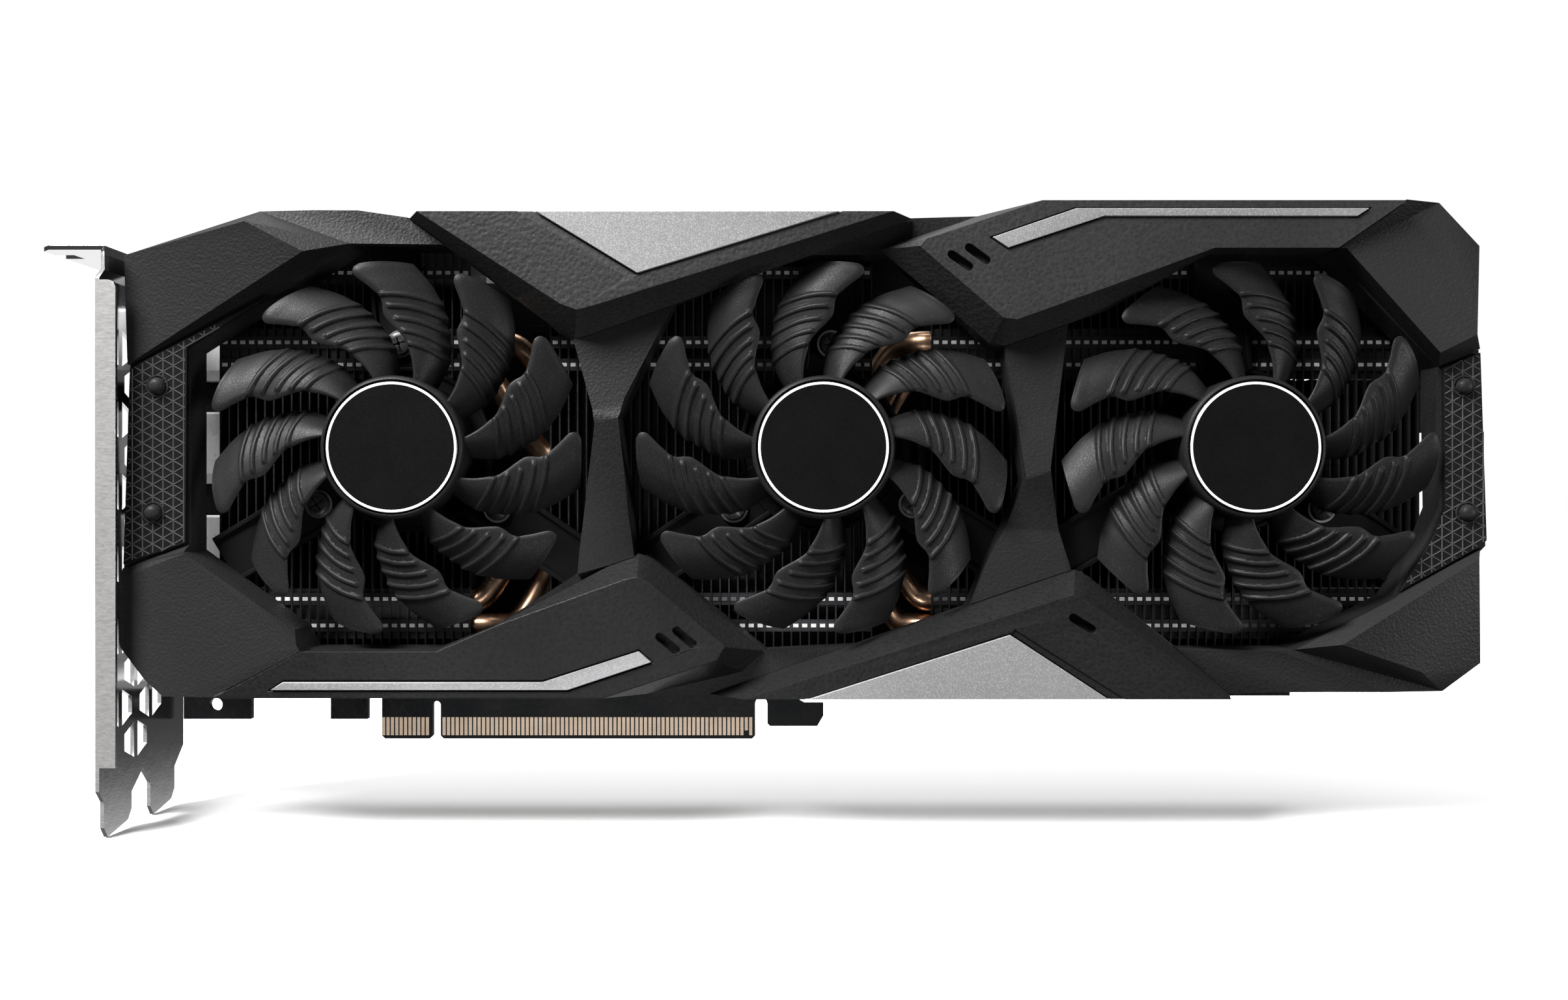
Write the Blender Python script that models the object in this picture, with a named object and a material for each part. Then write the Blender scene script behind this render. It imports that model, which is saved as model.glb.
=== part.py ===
"""Triple-fan graphics card, built as an assembly of named parts.

Axes: +X runs from the bracket to the far end, +Z runs up from the slot, and -Y is the fan side.
Origin: the middle of the bottom edge of the long contact tongue, half way through the board.
Every length below is in millimetres, and the mesh helpers turn it into metres.
"""

import math

import bmesh
import bpy
from mathutils import Vector

MM = 0.001
GAP = 0.3

# Board
BOARD_THICKNESS = 1.57
BOARD_FRONT = -BOARD_THICKNESS / 2
BOARD_BACK = BOARD_THICKNESS / 2
BOARD_LEFT = -94.6
BOARD_RIGHT = 158.0
BOARD_TOP = 104.0
BOARD_BOTTOM = 9.8
TONGUE_HALF = 35.9
KEY_WIDTH = 1.8
SHORT_TONGUE = 11.6

# Depths, front to back
COVER_FRONT = -38.0
HUB_FRONT = -36.2
FRAME_FRONT = -30.0
FRAME_BACK = -22.3
SEAT_DEPTH = FRAME_FRONT - 0.12
CARRIER_FRONT = -22.0
CARRIER_BACK = -20.3
FIN_FRONT = -20.0
FIN_BACK = -4.6
BACKPLATE_FRONT = 1.8
BACKPLATE_BACK = 3.3

# Fans
FAN_PITCH = 87.5
FAN_HEIGHT = 65.2
FAN_X = [50.5 - FAN_PITCH, 50.5, 50.5 + FAN_PITCH]
FAN_NAMES = ["left", "middle", "right"]
BLADES = 11
BLADE_TIP = 38.2
BLADE_THICKNESS = 1.1
HUB_RADIUS = 14.6
HUB_WALL = 1.3
HUB_BACK = -24.6
HUB_FLOOR = HUB_FRONT + 2.4
LABEL_RADIUS = 13.4
LABEL_SEAT = HUB_FRONT + 0.9
SHAFT_RADIUS = 1.5
SHAFT_END = -23.4
SLEEVE_RADIUS = 3.4
SLEEVE_FRONT = -32.4
CORE_RADIUS = 12.2
CORE_FRONT = -31.6
SCREW_RADIUS = 22.5
SCREW_HEAD = 2.4
SCREW_ANGLES = [95, 211, 326]
CARRIER_DISC = 17.5
CARRIER_REACH = 46.0
CARRIER_ARM_WIDTH = 11.0

# Cooler
FIN_PITCH = 3.8
FIN_THICKNESS = 0.7
FIN_BOTTOM = 17.0
FIN_TOP = 111.0
FIN_SPINE = 1.0
STACK_SPANS = {
    "fin_stack_left": (-78.4, -24.6),
    "fin_stack_middle": (-7.6, 61.4),
    "fin_stack_right": (74.0, 178.6),
}
MIDDLE_FIN_BACK = -12.6
PIPE_DIAMETER = 5.0
PIPE_OUTER_DEPTH = -16.4
PIPE_MIDDLE_DEPTH = -9.6
PIPE_LEFT = -77.5
PIPE_RIGHT = 176.5
PIPE_BENDS = [(-25.5, 1.0), (53.0, 75.5)]
PIPE_STEP = 1.9
BEND_LENGTH = 15.0
UPPER_PIPES = [88.6, 83.2]
LOWER_PIPES = [27.4, 32.8]
GPU_CENTRE = (27.0, 60.5)
GPU_HALF_DIAGONAL = 20.0
COLD_PLATE_HALF = (24.0, 22.0)
COLD_PLATE_DEPTHS = (-6.7, -3.6)

# Bracket
BRACKET_OUTER = -96.9
BRACKET_THICKNESS = 0.86
BRACKET_INNER = BRACKET_OUTER + BRACKET_THICKNESS
BRACKET_NEAR = -36.2
BRACKET_FAR = 2.5
BLADE_TOP = 99.5
NECK_SHIFT = 1.1
TAB_TOP = 106.0
TAB_REACH = 11.4
FLANGE_WIDTH = 4.1
PORT_HEIGHTS = {
    "video_port_1": 89.3,
    "video_port_2": 66.2,
    "video_port_3": 43.1,
    "video_port_4": 20.0,
}
PORT_FRONT = -7.2
PORT_BACK = -1.1
PORT_INNER = -78.8
PORT_FLOOR = -83.0
PORT_HALF = 8.0
PORT_WALL = 0.6
TAB_NOTCHES = (-7.6, -27.9)
TAB_NOTCH_HALF = 2.2
TAB_NOTCH_DEPTH = 4.0
TAB_SPLAY = 2.0
VENT_ROWS = 12
VENT_FIRST = 3.5
VENT_STEP = 7.53
VENT_COLUMNS = ((-20.6,), (-27.4, -13.8))
VENT_HALF_WIDTH = 5.0
VENT_PEAK = 3.75
VENT_SHOULDER = 1.75
VENT_BAR_HALF = 0.8

# Power sockets
SOCKET_SPANS = {
    "power_socket_6_pin": (110.0, 123.0),
    "power_socket_8_pin": (123.6, 141.0),
}
SOCKET_FRONT = -12.0
SOCKET_WALL = 0.9
SOCKET_BOTTOM = 97.4
SOCKET_FLOOR = 100.4
SOCKET_TOP = 109.5
SOCKET_ROOM = (108.7, 142.3)

LOOKS = {
    "shroud_plastic": ((0.035, 0.036, 0.038), 0.55, 0.0),
    "fan_plastic": ((0.045, 0.046, 0.048), 0.45, 0.0),
    "label_film": ((0.006, 0.006, 0.006), 0.25, 0.0),
    "silver_trim": ((0.5, 0.5, 0.51), 0.32, 0.85),
    "fin_metal": ((0.03, 0.03, 0.032), 0.35, 0.9),
    "copper": ((0.55, 0.27, 0.14), 0.3, 1.0),
    "steel": ((0.55, 0.55, 0.55), 0.35, 1.0),
    "board": ((0.012, 0.012, 0.013), 0.5, 0.0),
    "dark_steel": ((0.02, 0.02, 0.02), 0.35, 0.8),
    "socket_plastic": ((0.015, 0.015, 0.015), 0.5, 0.0),
}


# ---------------------------------------------------------------- helpers


def clear_scene():
    for obj in list(bpy.data.objects):
        bpy.data.objects.remove(obj, do_unlink=True)


def look(name):
    material = bpy.data.materials.get(name)
    if material:
        return material
    colour, roughness, metallic = LOOKS[name]
    material = bpy.data.materials.new(name)
    material.use_nodes = True
    shader = material.node_tree.nodes["Principled BSDF"]
    shader.inputs["Base Color"].default_value = (*colour, 1.0)
    shader.inputs["Roughness"].default_value = roughness
    shader.inputs["Metallic"].default_value = metallic
    return material


def add_object(name, mesh, material, parent=None, at=(0.0, 0.0, 0.0)):
    obj = bpy.data.objects.new(name, mesh)
    bpy.context.scene.collection.objects.link(obj)
    obj.location = [value * MM for value in at]
    obj.parent = parent
    if material:
        mesh.materials.clear()
        mesh.materials.append(look(material))
    return obj


def add_empty(name, at):
    empty = bpy.data.objects.new(name, None)
    bpy.context.scene.collection.objects.link(empty)
    empty.location = [value * MM for value in at]
    return empty


def mesh_from(name, points, faces):
    """A mesh of the points in millimetres, with its normals turned outwards."""
    bm = bmesh.new()
    corners = [bm.verts.new(Vector(point) * MM) for point in points]
    for face in faces:
        bm.faces.new([corners[index] for index in face])
    bmesh.ops.recalc_face_normals(bm, faces=bm.faces)
    mesh = bpy.data.meshes.new(name)
    bm.to_mesh(mesh)
    bm.free()
    return mesh


def loft_mesh(name, levels):
    """A closed solid through outlines of equal length: levels are (y, [(x, z), ...])."""
    count = len(levels[0][1])
    points = [(x, y, z) for y, outline in levels for x, z in outline]
    faces = [list(range(count)), list(range(len(points) - count, len(points)))]
    for level in range(len(levels) - 1):
        start = level * count
        for index in range(count):
            after = (index + 1) % count
            faces.append([start + index, start + after, start + count + after, start + count + index])
    return mesh_from(name, points, faces)


def plate_mesh(name, outline, front, back):
    return loft_mesh(name, [(front, outline), (back, outline)])


def prism_mesh(name, near, far):
    """A closed solid between two matching rings of (x, y, z) points."""
    count = len(near)
    faces = [list(range(count)), list(range(count, 2 * count))]
    for index in range(count):
        after = (index + 1) % count
        faces.append([index, after, count + after, count + index])
    return mesh_from(name, near + far, faces)


def side_plate_mesh(name, outline, left, right):
    """A plate that lies across X, from an outline of (y, z) points."""
    return prism_mesh(name, [(left, y, z) for y, z in outline], [(right, y, z) for y, z in outline])


def flat_plate_mesh(name, outline, bottom, top):
    """A plate that lies across Z, from an outline of (x, y) points."""
    return prism_mesh(name, [(x, y, bottom) for x, y in outline], [(x, y, top) for x, y in outline])


def box_mesh(name, low, high):
    outline = [(low[0], low[2]), (high[0], low[2]), (high[0], high[2]), (low[0], high[2])]
    return plate_mesh(name, outline, low[1], high[1])


def disc_outline(radius, centre=(0.0, 0.0), sides=32, start=0.0):
    turns = [math.radians(start + 360.0 * index / sides) for index in range(sides)]
    return [(centre[0] + radius * math.cos(t), centre[1] + radius * math.sin(t)) for t in turns]


def turned_mesh(name, profile, sides):
    """A solid of revolution about Y from (radius, y) points that start and end on the axis."""
    points = []
    rings = []
    for radius, y in profile:
        if radius == 0:
            rings.append([len(points)])
            points.append((0.0, y, 0.0))
            continue
        rings.append(list(range(len(points), len(points) + sides)))
        points += [(x, y, z) for x, z in disc_outline(radius, sides=sides)]
    faces = []
    for ring, following in zip(rings, rings[1:]):
        for index in range(sides):
            after = (index + 1) % sides
            if len(ring) == 1:
                faces.append([ring[0], following[index], following[after]])
            elif len(following) == 1:
                faces.append([ring[index], ring[after], following[0]])
            else:
                faces.append([ring[index], ring[after], following[after], following[index]])
    return mesh_from(name, points, faces)


def ring_mesh(name, profile, sides):
    """A solid of revolution about Y from a closed loop of (radius, y) points off the axis."""
    points = []
    for radius, y in profile:
        points += [(x, y, z) for x, z in disc_outline(radius, sides=sides)]
    faces = []
    for level in range(len(profile)):
        start = level * sides
        following = ((level + 1) % len(profile)) * sides
        for index in range(sides):
            after = (index + 1) % sides
            faces.append([start + index, start + after, following + after, following + index])
    return mesh_from(name, points, faces)


def facet_mesh(name, points, faces, back):
    """A faceted block: points are name: (x, z, y of the front surface), and the back is flat."""
    order = list(points)
    front = [(points[key][0], points[key][2], points[key][1]) for key in order]
    flat = [(points[key][0], back, points[key][1]) for key in order]
    top = [[order.index(key) for key in face] for face in faces]
    uses = {}
    for face in top:
        for start, end in zip(face, face[1:] + face[:1]):
            uses.setdefault(frozenset((start, end)), []).append((start, end))
    rim = dict(pair[0] for pair in uses.values() if len(pair) == 1)
    count = len(order)
    sides = [[start, end, end + count, start + count] for start, end in rim.items()]
    first = next(iter(rim))
    loop = [first]
    while rim[loop[-1]] != first:
        loop.append(rim[loop[-1]])
    keep = sorted({index for face in top for index in face}) + sorted(index + count for index in loop)
    place = {old: new for new, old in enumerate(keep)}
    every = top + sides + [[index + count for index in loop]]
    both = front + flat
    faces = [[place[index] for index in face] for face in every]
    return mesh_from(name, [both[index] for index in keep], faces)


def modifier_boolean(obj, cutter, operation):
    boolean = obj.modifiers.new(operation.title() + " " + cutter.name, "BOOLEAN")
    boolean.operation = operation
    boolean.solver = "EXACT"
    boolean.object = cutter


def hidden(name, mesh, parent=None, at=(0.0, 0.0, 0.0)):
    obj = add_object(name, mesh, None, parent, at)
    obj.hide_render = True
    obj.display_type = "WIRE"
    return obj


def cut(obj, name, mesh):
    modifier_boolean(obj, hidden("cutter_" + name, mesh), "DIFFERENCE")


def weld_on(obj, name, mesh):
    modifier_boolean(obj, hidden("added_" + name, mesh), "UNION")


def joined_mesh(name, meshes):
    """One mesh that holds several separate closed shapes, for use as a single cutter."""
    bm = bmesh.new()
    for mesh in meshes:
        bm.from_mesh(mesh)
    mesh = bpy.data.meshes.new(name)
    bm.to_mesh(mesh)
    bm.free()
    return mesh


def smooth(obj, degrees=35):
    obj.data.shade_smooth()
    obj.data.set_sharp_from_angle(angle=math.radians(degrees))


# ---------------------------------------------------------------- board


def arch(left, right, top, steps=6):
    """The points of a slot that is open below and round at its top, from left to right."""
    radius = (right - left) / 2
    centre = ((left + right) / 2, top - radius)
    turns = [math.pi - math.pi * step / steps for step in range(steps + 1)]
    return [(centre[0] + radius * math.cos(t), centre[1] + radius * math.sin(t)) for t in turns]


def board_outline():
    short_right = -TONGUE_HALF - KEY_WIDTH
    short_left = short_right - SHORT_TONGUE
    ease = 0.7
    points = [(BOARD_LEFT, 4.5), (-79.1, 4.5), (-79.1, BOARD_BOTTOM), (-61.0, BOARD_BOTTOM)]
    points += [(-61.0, 4.5), (-52.5, 4.5), (-52.5, BOARD_BOTTOM), (short_left, BOARD_BOTTOM)]
    points += [(short_left, ease), (short_left + ease, 0.0), (short_right - ease, 0.0)]
    points += [(short_right, ease)] + arch(short_right, -TONGUE_HALF, 8.6)
    points += [(-TONGUE_HALF, ease), (-TONGUE_HALF + ease, 0.0)]
    points += [(TONGUE_HALF - ease, 0.0), (TONGUE_HALF, ease)]
    points += arch(TONGUE_HALF, 38.7, 9.4)
    points += [(38.7, 3.5), (39.3, 2.9), (50.1, 2.9), (51.5, 5.3), (51.5, 8.1)]
    points += [(47.2, 8.1), (46.2, 8.6), (45.9, BOARD_BOTTOM)]
    points += [(BOARD_RIGHT, BOARD_BOTTOM), (BOARD_RIGHT, BOARD_TOP)]
    points += [(BOARD_LEFT + 1.2, BOARD_TOP), (BOARD_LEFT + 1.2, 99.0), (BOARD_LEFT, 99.0)]
    return points


def make_board():
    mesh = plate_mesh("board", board_outline(), BOARD_FRONT, BOARD_BACK)
    board = add_object("circuit_board", mesh, "board")
    hole = disc_outline(1.5, (-87.2, 7.8), 16)
    cut(board, "board_hole", plate_mesh("board_hole", hole, BOARD_FRONT - 2, BOARD_BACK + 2))
    package = disc_outline(GPU_HALF_DIAGONAL, GPU_CENTRE, 4)
    mesh = plate_mesh("package", package, COLD_PLATE_DEPTHS[1] + GAP, BOARD_FRONT - GAP)
    add_object("gpu_package", mesh, "socket_plastic")


BACKPLATE_OUTLINE = [
    (-92.5, 11.0), (176.0, 11.0), (180.0, 15.0), (180.0, 102.0), (176.0, 106.0), (-92.5, 106.0),
]
BACKPLATE_SLOTS_AT = [157.0, 160.0, 163.0, 166.0, 169.0]
BACKPLATE_SLOT_SPAN = (40.0, 84.0)


def make_backplate():
    mesh = plate_mesh("backplate", BACKPLATE_OUTLINE, BACKPLATE_FRONT, BACKPLATE_BACK)
    plate = add_object("backplate", mesh, "dark_steel")
    bottom, top = BACKPLATE_SLOT_SPAN
    slots = []
    for x in BACKPLATE_SLOTS_AT:
        low = (x - 0.8, BACKPLATE_FRONT - 2, bottom)
        slots.append(box_mesh("slot", low, (x + 0.8, BACKPLATE_BACK + 2, top)))
    cut(plate, "backplate_slots", joined_mesh("backplate_slots", slots))


# ---------------------------------------------------------------- bracket


def bracket_outline():
    """The bracket's blade seen along X, as (y, z): two tongues below, square above."""
    points = [(BRACKET_NEAR, BLADE_TOP), (BRACKET_NEAR, -4.6), (-34.2, -7.0), (-34.2, -12.4)]
    points += [(-32.6, -14.6), (-24.0, -13.0), (-22.4, -11.0), (-22.4, -7.4), (-17.4, -3.4)]
    points += [(-13.9, -7.0), (-13.9, -12.4), (-12.3, -14.6), (-3.7, -13.0), (-2.1, -11.0)]
    points += [(-2.1, -6.0), (BRACKET_FAR, -1.8), (BRACKET_FAR, BLADE_TOP)]
    return points


def half_vent(y, z, side):
    """One half of a hexagonal vent beside its upright bar, as (y, z)."""
    inner, outer = y + side * VENT_BAR_HALF, y + side * VENT_HALF_WIDTH
    points = [(inner, z - VENT_PEAK), (outer, z - VENT_SHOULDER)]
    return points + [(outer, z + VENT_SHOULDER), (inner, z + VENT_PEAK)]


def tab_outline():
    """The bent-over tab seen from above, as (x, y), with an open notch for each case screw."""
    inner, reach = BRACKET_OUTER + NECK_SHIFT + 0.4, BRACKET_OUTER - TAB_REACH
    points = [(inner, BRACKET_NEAR), (inner, BRACKET_FAR)]
    points += [(reach + TAB_SPLAY, BRACKET_FAR), (reach, BRACKET_FAR - TAB_SPLAY)]
    for centre in TAB_NOTCHES:
        high, low = centre + TAB_NOTCH_HALF, centre - TAB_NOTCH_HALF
        deep = reach + TAB_NOTCH_DEPTH
        points += [(reach, high), (deep, high), (deep, low), (reach, low)]
    points += [(reach, BRACKET_NEAR + TAB_SPLAY), (reach + TAB_SPLAY, BRACKET_NEAR)]
    return points


def neck_outline():
    """The bracket's top seen along Y, as (x, z): it steps towards the board below the tab."""
    outer, inner = BRACKET_OUTER + 0.06, BRACKET_INNER - 0.06
    points = [(outer, BLADE_TOP - 0.6), (inner, BLADE_TOP - 0.6), (inner, BLADE_TOP)]
    points += [(inner + NECK_SHIFT, BLADE_TOP + 1.6), (inner + NECK_SHIFT, TAB_TOP)]
    points += [(outer + NECK_SHIFT, TAB_TOP), (outer + NECK_SHIFT, BLADE_TOP + 1.9)]
    return points + [(outer, BLADE_TOP + 0.3)]


def make_bracket():
    blade = side_plate_mesh("blade", bracket_outline(), BRACKET_OUTER, BRACKET_INNER)
    bracket = add_object("io_bracket", blade, "steel")
    neck = plate_mesh("neck", neck_outline(), BRACKET_NEAR + 0.05, BRACKET_FAR - 0.05)
    weld_on(bracket, "neck", neck)
    tab = flat_plate_mesh("tab", tab_outline(), TAB_TOP - BRACKET_THICKNESS, TAB_TOP + 0.03)
    weld_on(bracket, "tab", tab)
    near, far = BRACKET_OUTER + 0.4, BRACKET_OUTER + FLANGE_WIDTH
    outline = [(near, 0.2), (far, 0.2), (far, 97.7), (far - 0.4, 98.7), (far - 1.4, 99.1), (near, 99.1)]
    flange = plate_mesh("flange", outline, BRACKET_NEAR, BRACKET_NEAR + BRACKET_THICKNESS)
    weld_on(bracket, "flange", flange)
    left, right = BRACKET_OUTER - 2, BRACKET_INNER + 2
    holes = []
    for row in range(VENT_ROWS):
        for y in VENT_COLUMNS[row % 2]:
            for side in (-1, 1):
                shape = half_vent(y, VENT_FIRST + VENT_STEP * row, side)
                holes.append(side_plate_mesh("vent", shape, left, right))
    for height in PORT_HEIGHTS.values():
        low = (left, PORT_FRONT - 0.5, height - PORT_HALF - 0.6)
        holes.append(box_mesh("port_hole", low, (right, PORT_BACK + 0.5, height + PORT_HALF + 0.6)))
    cut(bracket, "bracket_holes", joined_mesh("bracket_holes", holes))


def make_ports():
    for name, height in PORT_HEIGHTS.items():
        low = (BRACKET_OUTER + 0.3, PORT_FRONT, height - PORT_HALF)
        high = (PORT_INNER, PORT_BACK, height + PORT_HALF)
        port = add_object(name, box_mesh(name, low, high), "steel")
        low = (BRACKET_OUTER - 2, PORT_FRONT + PORT_WALL, height - PORT_HALF + PORT_WALL)
        high = (PORT_FLOOR, PORT_BACK - PORT_WALL, height + PORT_HALF - PORT_WALL)
        cut(port, name, box_mesh(name + "_mouth", low, high))


def make_power_sockets():
    back = BOARD_FRONT - GAP
    for name, (left, right) in SOCKET_SPANS.items():
        mesh = box_mesh(name, (left, SOCKET_FRONT, SOCKET_BOTTOM), (right, back, SOCKET_TOP))
        socket = add_object(name, mesh, "socket_plastic")
        low = (left + SOCKET_WALL, SOCKET_FRONT + SOCKET_WALL, SOCKET_FLOOR)
        high = (right - SOCKET_WALL, back - SOCKET_WALL, SOCKET_TOP + 2)
        cut(socket, name, box_mesh(name + "_mouth", low, high))


# ---------------------------------------------------------------- cooler


def comb_outline(left, right, back):
    """Fins standing forward of a thin spine, seen along Z, as (x, y) points."""
    spine = back - FIN_SPINE
    count = int((right - left - FIN_THICKNESS) / FIN_PITCH)
    pitch = (right - left - FIN_THICKNESS) / count
    points = [(right, back), (left, back)]
    for index in range(count + 1):
        x = left + index * pitch
        if index:
            points.append((x, spine))
        points += [(x, FIN_FRONT), (x + FIN_THICKNESS, FIN_FRONT)]
        if index < count:
            points.append((x + FIN_THICKNESS, spine))
    return points


def pipe_channel(name, heights, left, right):
    """The space behind the fin fronts that two heat pipes lie in."""
    room = PIPE_DIAMETER / 2 + GAP
    low = (left - 3, PIPE_OUTER_DEPTH - room, min(heights) - room)
    return box_mesh(name, low, (right + 3, FIN_BACK + 3, max(heights) + room))


def make_fin_stacks():
    for name, (left, right) in STACK_SPANS.items():
        middle = name == "fin_stack_middle"
        back = MIDDLE_FIN_BACK if middle else FIN_BACK
        mesh = flat_plate_mesh(name, comb_outline(left, right, back), FIN_BOTTOM, FIN_TOP)
        stack = add_object(name, mesh, "fin_metal")
        if middle:
            continue
        channels = [pipe_channel(name, rows, left, right) for rows in (UPPER_PIPES, LOWER_PIPES)]
        if name == "fin_stack_right":
            low = (SOCKET_ROOM[0], SOCKET_FRONT - 1, SOCKET_BOTTOM - 1.4)
            channels.append(box_mesh("socket_room", low, (SOCKET_ROOM[1], FIN_BACK + 3, FIN_TOP + 3)))
        cut(stack, name, joined_mesh(name + "_channels", channels))


def eased(value):
    value = min(1.0, max(0.0, value))
    return value * value * (3 - 2 * value)


def pipe_points(outer, inner, left_bend, right_bend):
    """The centre line of a pipe: out along the fins, in and back over the chip, and out again."""
    stations = [PIPE_LEFT]
    for start, end in PIPE_BENDS:
        steps = round((end - start) / PIPE_STEP)
        stations += [start + (end - start) * step / steps for step in range(steps + 1)]
    stations.append(PIPE_RIGHT)
    points = []
    for x in stations:
        out_left = 1 - eased((x - left_bend) / BEND_LENGTH)
        out_right = eased((x - right_bend) / BEND_LENGTH)
        height = inner + (outer - inner) * (out_left + out_right)
        deep = eased((x + 22.0) / 12.0) * (1 - eased((x - 62.5) / 11.0))
        depth = PIPE_OUTER_DEPTH + (PIPE_MIDDLE_DEPTH - PIPE_OUTER_DEPTH) * deep
        points.append((x, depth, height))
    return points


def tube_curve(name, points, radius, material):
    curve = bpy.data.curves.new(name, "CURVE")
    curve.dimensions = "3D"
    curve.bevel_depth = radius * MM
    curve.bevel_resolution = 1
    curve.use_fill_caps = True
    spline = curve.splines.new("POLY")
    spline.points.add(len(points) - 1)
    for target, point in zip(spline.points, points):
        target.co = (*[value * MM for value in point], 1.0)
    curve.materials.append(look(material))
    obj = bpy.data.objects.new(name, curve)
    bpy.context.scene.collection.objects.link(obj)
    return obj


def make_heat_pipes():
    middle = GPU_CENTRE[1]
    rows = [(UPPER_PIPES[0], middle + 10.8, -17.5, 54.0), (UPPER_PIPES[1], middle + 3.6, -24.0, 58.5)]
    rows += [(LOWER_PIPES[1], middle - 3.6, -24.0, 58.5), (LOWER_PIPES[0], middle - 10.8, -17.5, 54.0)]
    for number, (outer, inner, left_bend, right_bend) in enumerate(rows, 1):
        points = pipe_points(outer, inner, left_bend, right_bend)
        tube_curve(f"heat_pipe_{number}", points, PIPE_DIAMETER / 2, "copper")
    wide, high = COLD_PLATE_HALF
    front, back = COLD_PLATE_DEPTHS
    low = (GPU_CENTRE[0] - wide, front, GPU_CENTRE[1] - high)
    high = (GPU_CENTRE[0] + wide, back, GPU_CENTRE[1] + high)
    add_object("cold_plate", box_mesh("cold_plate", low, high), "copper")


# ---------------------------------------------------------------- fans


def arc_point(angle, radius):
    return (radius * math.cos(math.radians(angle)), radius * math.sin(math.radians(angle)))


BLADE_STATIONS = [
    # radius, trailing angle, leading angle, trailing depth, leading depth
    (13.9, -46.0, -29.5, -30.0, -34.4),
    (19.5, -44.0, -23.0, -30.0, -34.6),
    (24.5, -38.0, -13.5, -30.0, -34.8),
    (29.0, -32.5, -8.6, -30.2, -35.0),
    (33.2, -26.0, -4.5, -30.2, -35.2),
    (36.4, -20.4, 0.0, -30.4, -35.2),
    (BLADE_TIP, -17.5, -2.0, -30.6, -35.0),
]
BLADE_TURN = 103.0
BLADE_BOW = 1.0
BLADE_STEPS = 3


def blade_grid(turn, hand, offset):
    """One skin of a blade: rows run outwards, columns run from the trailing to the leading edge."""
    rows = []
    for radius, trailing, leading, trailing_depth, leading_depth in BLADE_STATIONS:
        row = []
        for step in range(BLADE_STEPS + 1):
            part = step / BLADE_STEPS
            angle = trailing + (leading - trailing) * part
            x, z = arc_point(turn + angle, radius)
            bow = BLADE_BOW * math.sin(math.pi * part)
            depth = trailing_depth + (leading_depth - trailing_depth) * part - bow
            row.append((x * hand, depth + offset, z))
        rows.append(row)
    return rows


def blade_mesh(name, turn, hand):
    front = blade_grid(turn, hand, 0.0)
    back = blade_grid(turn, hand, BLADE_THICKNESS)
    high, wide = len(front), BLADE_STEPS + 1
    points = [point for row in front for point in row] + [point for row in back for point in row]
    shift = high * wide
    faces = []
    for row in range(high - 1):
        for column in range(BLADE_STEPS):
            corner = row * wide + column
            quad = [corner, corner + 1, corner + wide + 1, corner + wide]
            faces += [quad, [index + shift for index in quad]]
    for row in range(high - 1):
        for column in (0, BLADE_STEPS):
            corner = row * wide + column
            faces.append([corner, corner + wide, corner + wide + shift, corner + shift])
    for row in (0, high - 1):
        for column in range(BLADE_STEPS):
            corner = row * wide + column
            faces.append([corner, corner + 1, corner + 1 + shift, corner + shift])
    return mesh_from(name, points, faces)


def hub_mesh(name):
    well = LABEL_RADIUS + GAP
    inner = HUB_RADIUS - HUB_WALL
    profile = [(0, LABEL_SEAT), (well, LABEL_SEAT), (well, HUB_FRONT), (HUB_RADIUS - 0.5, HUB_FRONT)]
    profile += [(HUB_RADIUS, HUB_FRONT + 1.2), (HUB_RADIUS, HUB_BACK), (inner, HUB_BACK)]
    profile += [(inner, HUB_FLOOR), (0, HUB_FLOOR)]
    return turned_mesh(name, profile, 32)


def make_rotor(side, axis):
    hand = -1.0 if side == "middle" else 1.0
    rotor = add_object(f"fan_rotor_{side}", hub_mesh("hub_" + side), "fan_plastic", axis)
    for index in range(BLADES):
        name = f"blade_{side}_{index + 1}"
        mesh = blade_mesh(name, BLADE_TURN + 360.0 * index / BLADES, hand)
        blade = hidden(name, mesh, axis)
        modifier_boolean(rotor, blade, "UNION")
    smooth(rotor)
    front, back = HUB_FRONT + 0.1, LABEL_SEAT - GAP
    disc = turned_mesh("label_" + side, rod_profile(LABEL_RADIUS, front, back), 32)
    smooth(add_object(f"hub_label_{side}", disc, "label_film", axis))
    rod = turned_mesh("shaft_" + side, rod_profile(SHAFT_RADIUS, HUB_FLOOR + GAP, SHAFT_END), 16)
    smooth(add_object(f"fan_shaft_{side}", rod, "steel", axis))


def rod_profile(radius, front, back):
    return [(0, front), (radius, front), (radius, back), (0, back)]


def tube_profile(inner, outer, front, back):
    return [(inner, front), (outer, front), (outer, back), (inner, back)]


def make_motor(side, axis):
    back = CARRIER_FRONT - GAP
    tube = tube_profile(SHAFT_RADIUS + GAP, SLEEVE_RADIUS, SLEEVE_FRONT, back)
    smooth(add_object(f"bearing_sleeve_{side}", ring_mesh("sleeve_" + side, tube, 16), "copper", axis))
    coil = tube_profile(SLEEVE_RADIUS + GAP, CORE_RADIUS, CORE_FRONT, back)
    smooth(add_object(f"motor_stator_{side}", ring_mesh("core_" + side, coil, 24), "dark_steel", axis))


def carrier_outline(hand):
    """Three straight arms that reach from the middle to under the shroud."""
    points = []
    half = CARRIER_ARM_WIDTH / 2
    for turn in SCREW_ANGLES:
        for reach, side in ((15.0, -1), (CARRIER_REACH, -1), (CARRIER_REACH, 1), (15.0, 1)):
            x = reach * math.cos(math.radians(turn)) - side * half * math.sin(math.radians(turn))
            z = reach * math.sin(math.radians(turn)) + side * half * math.cos(math.radians(turn))
            points.append((x * hand, z))
    return points


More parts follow.
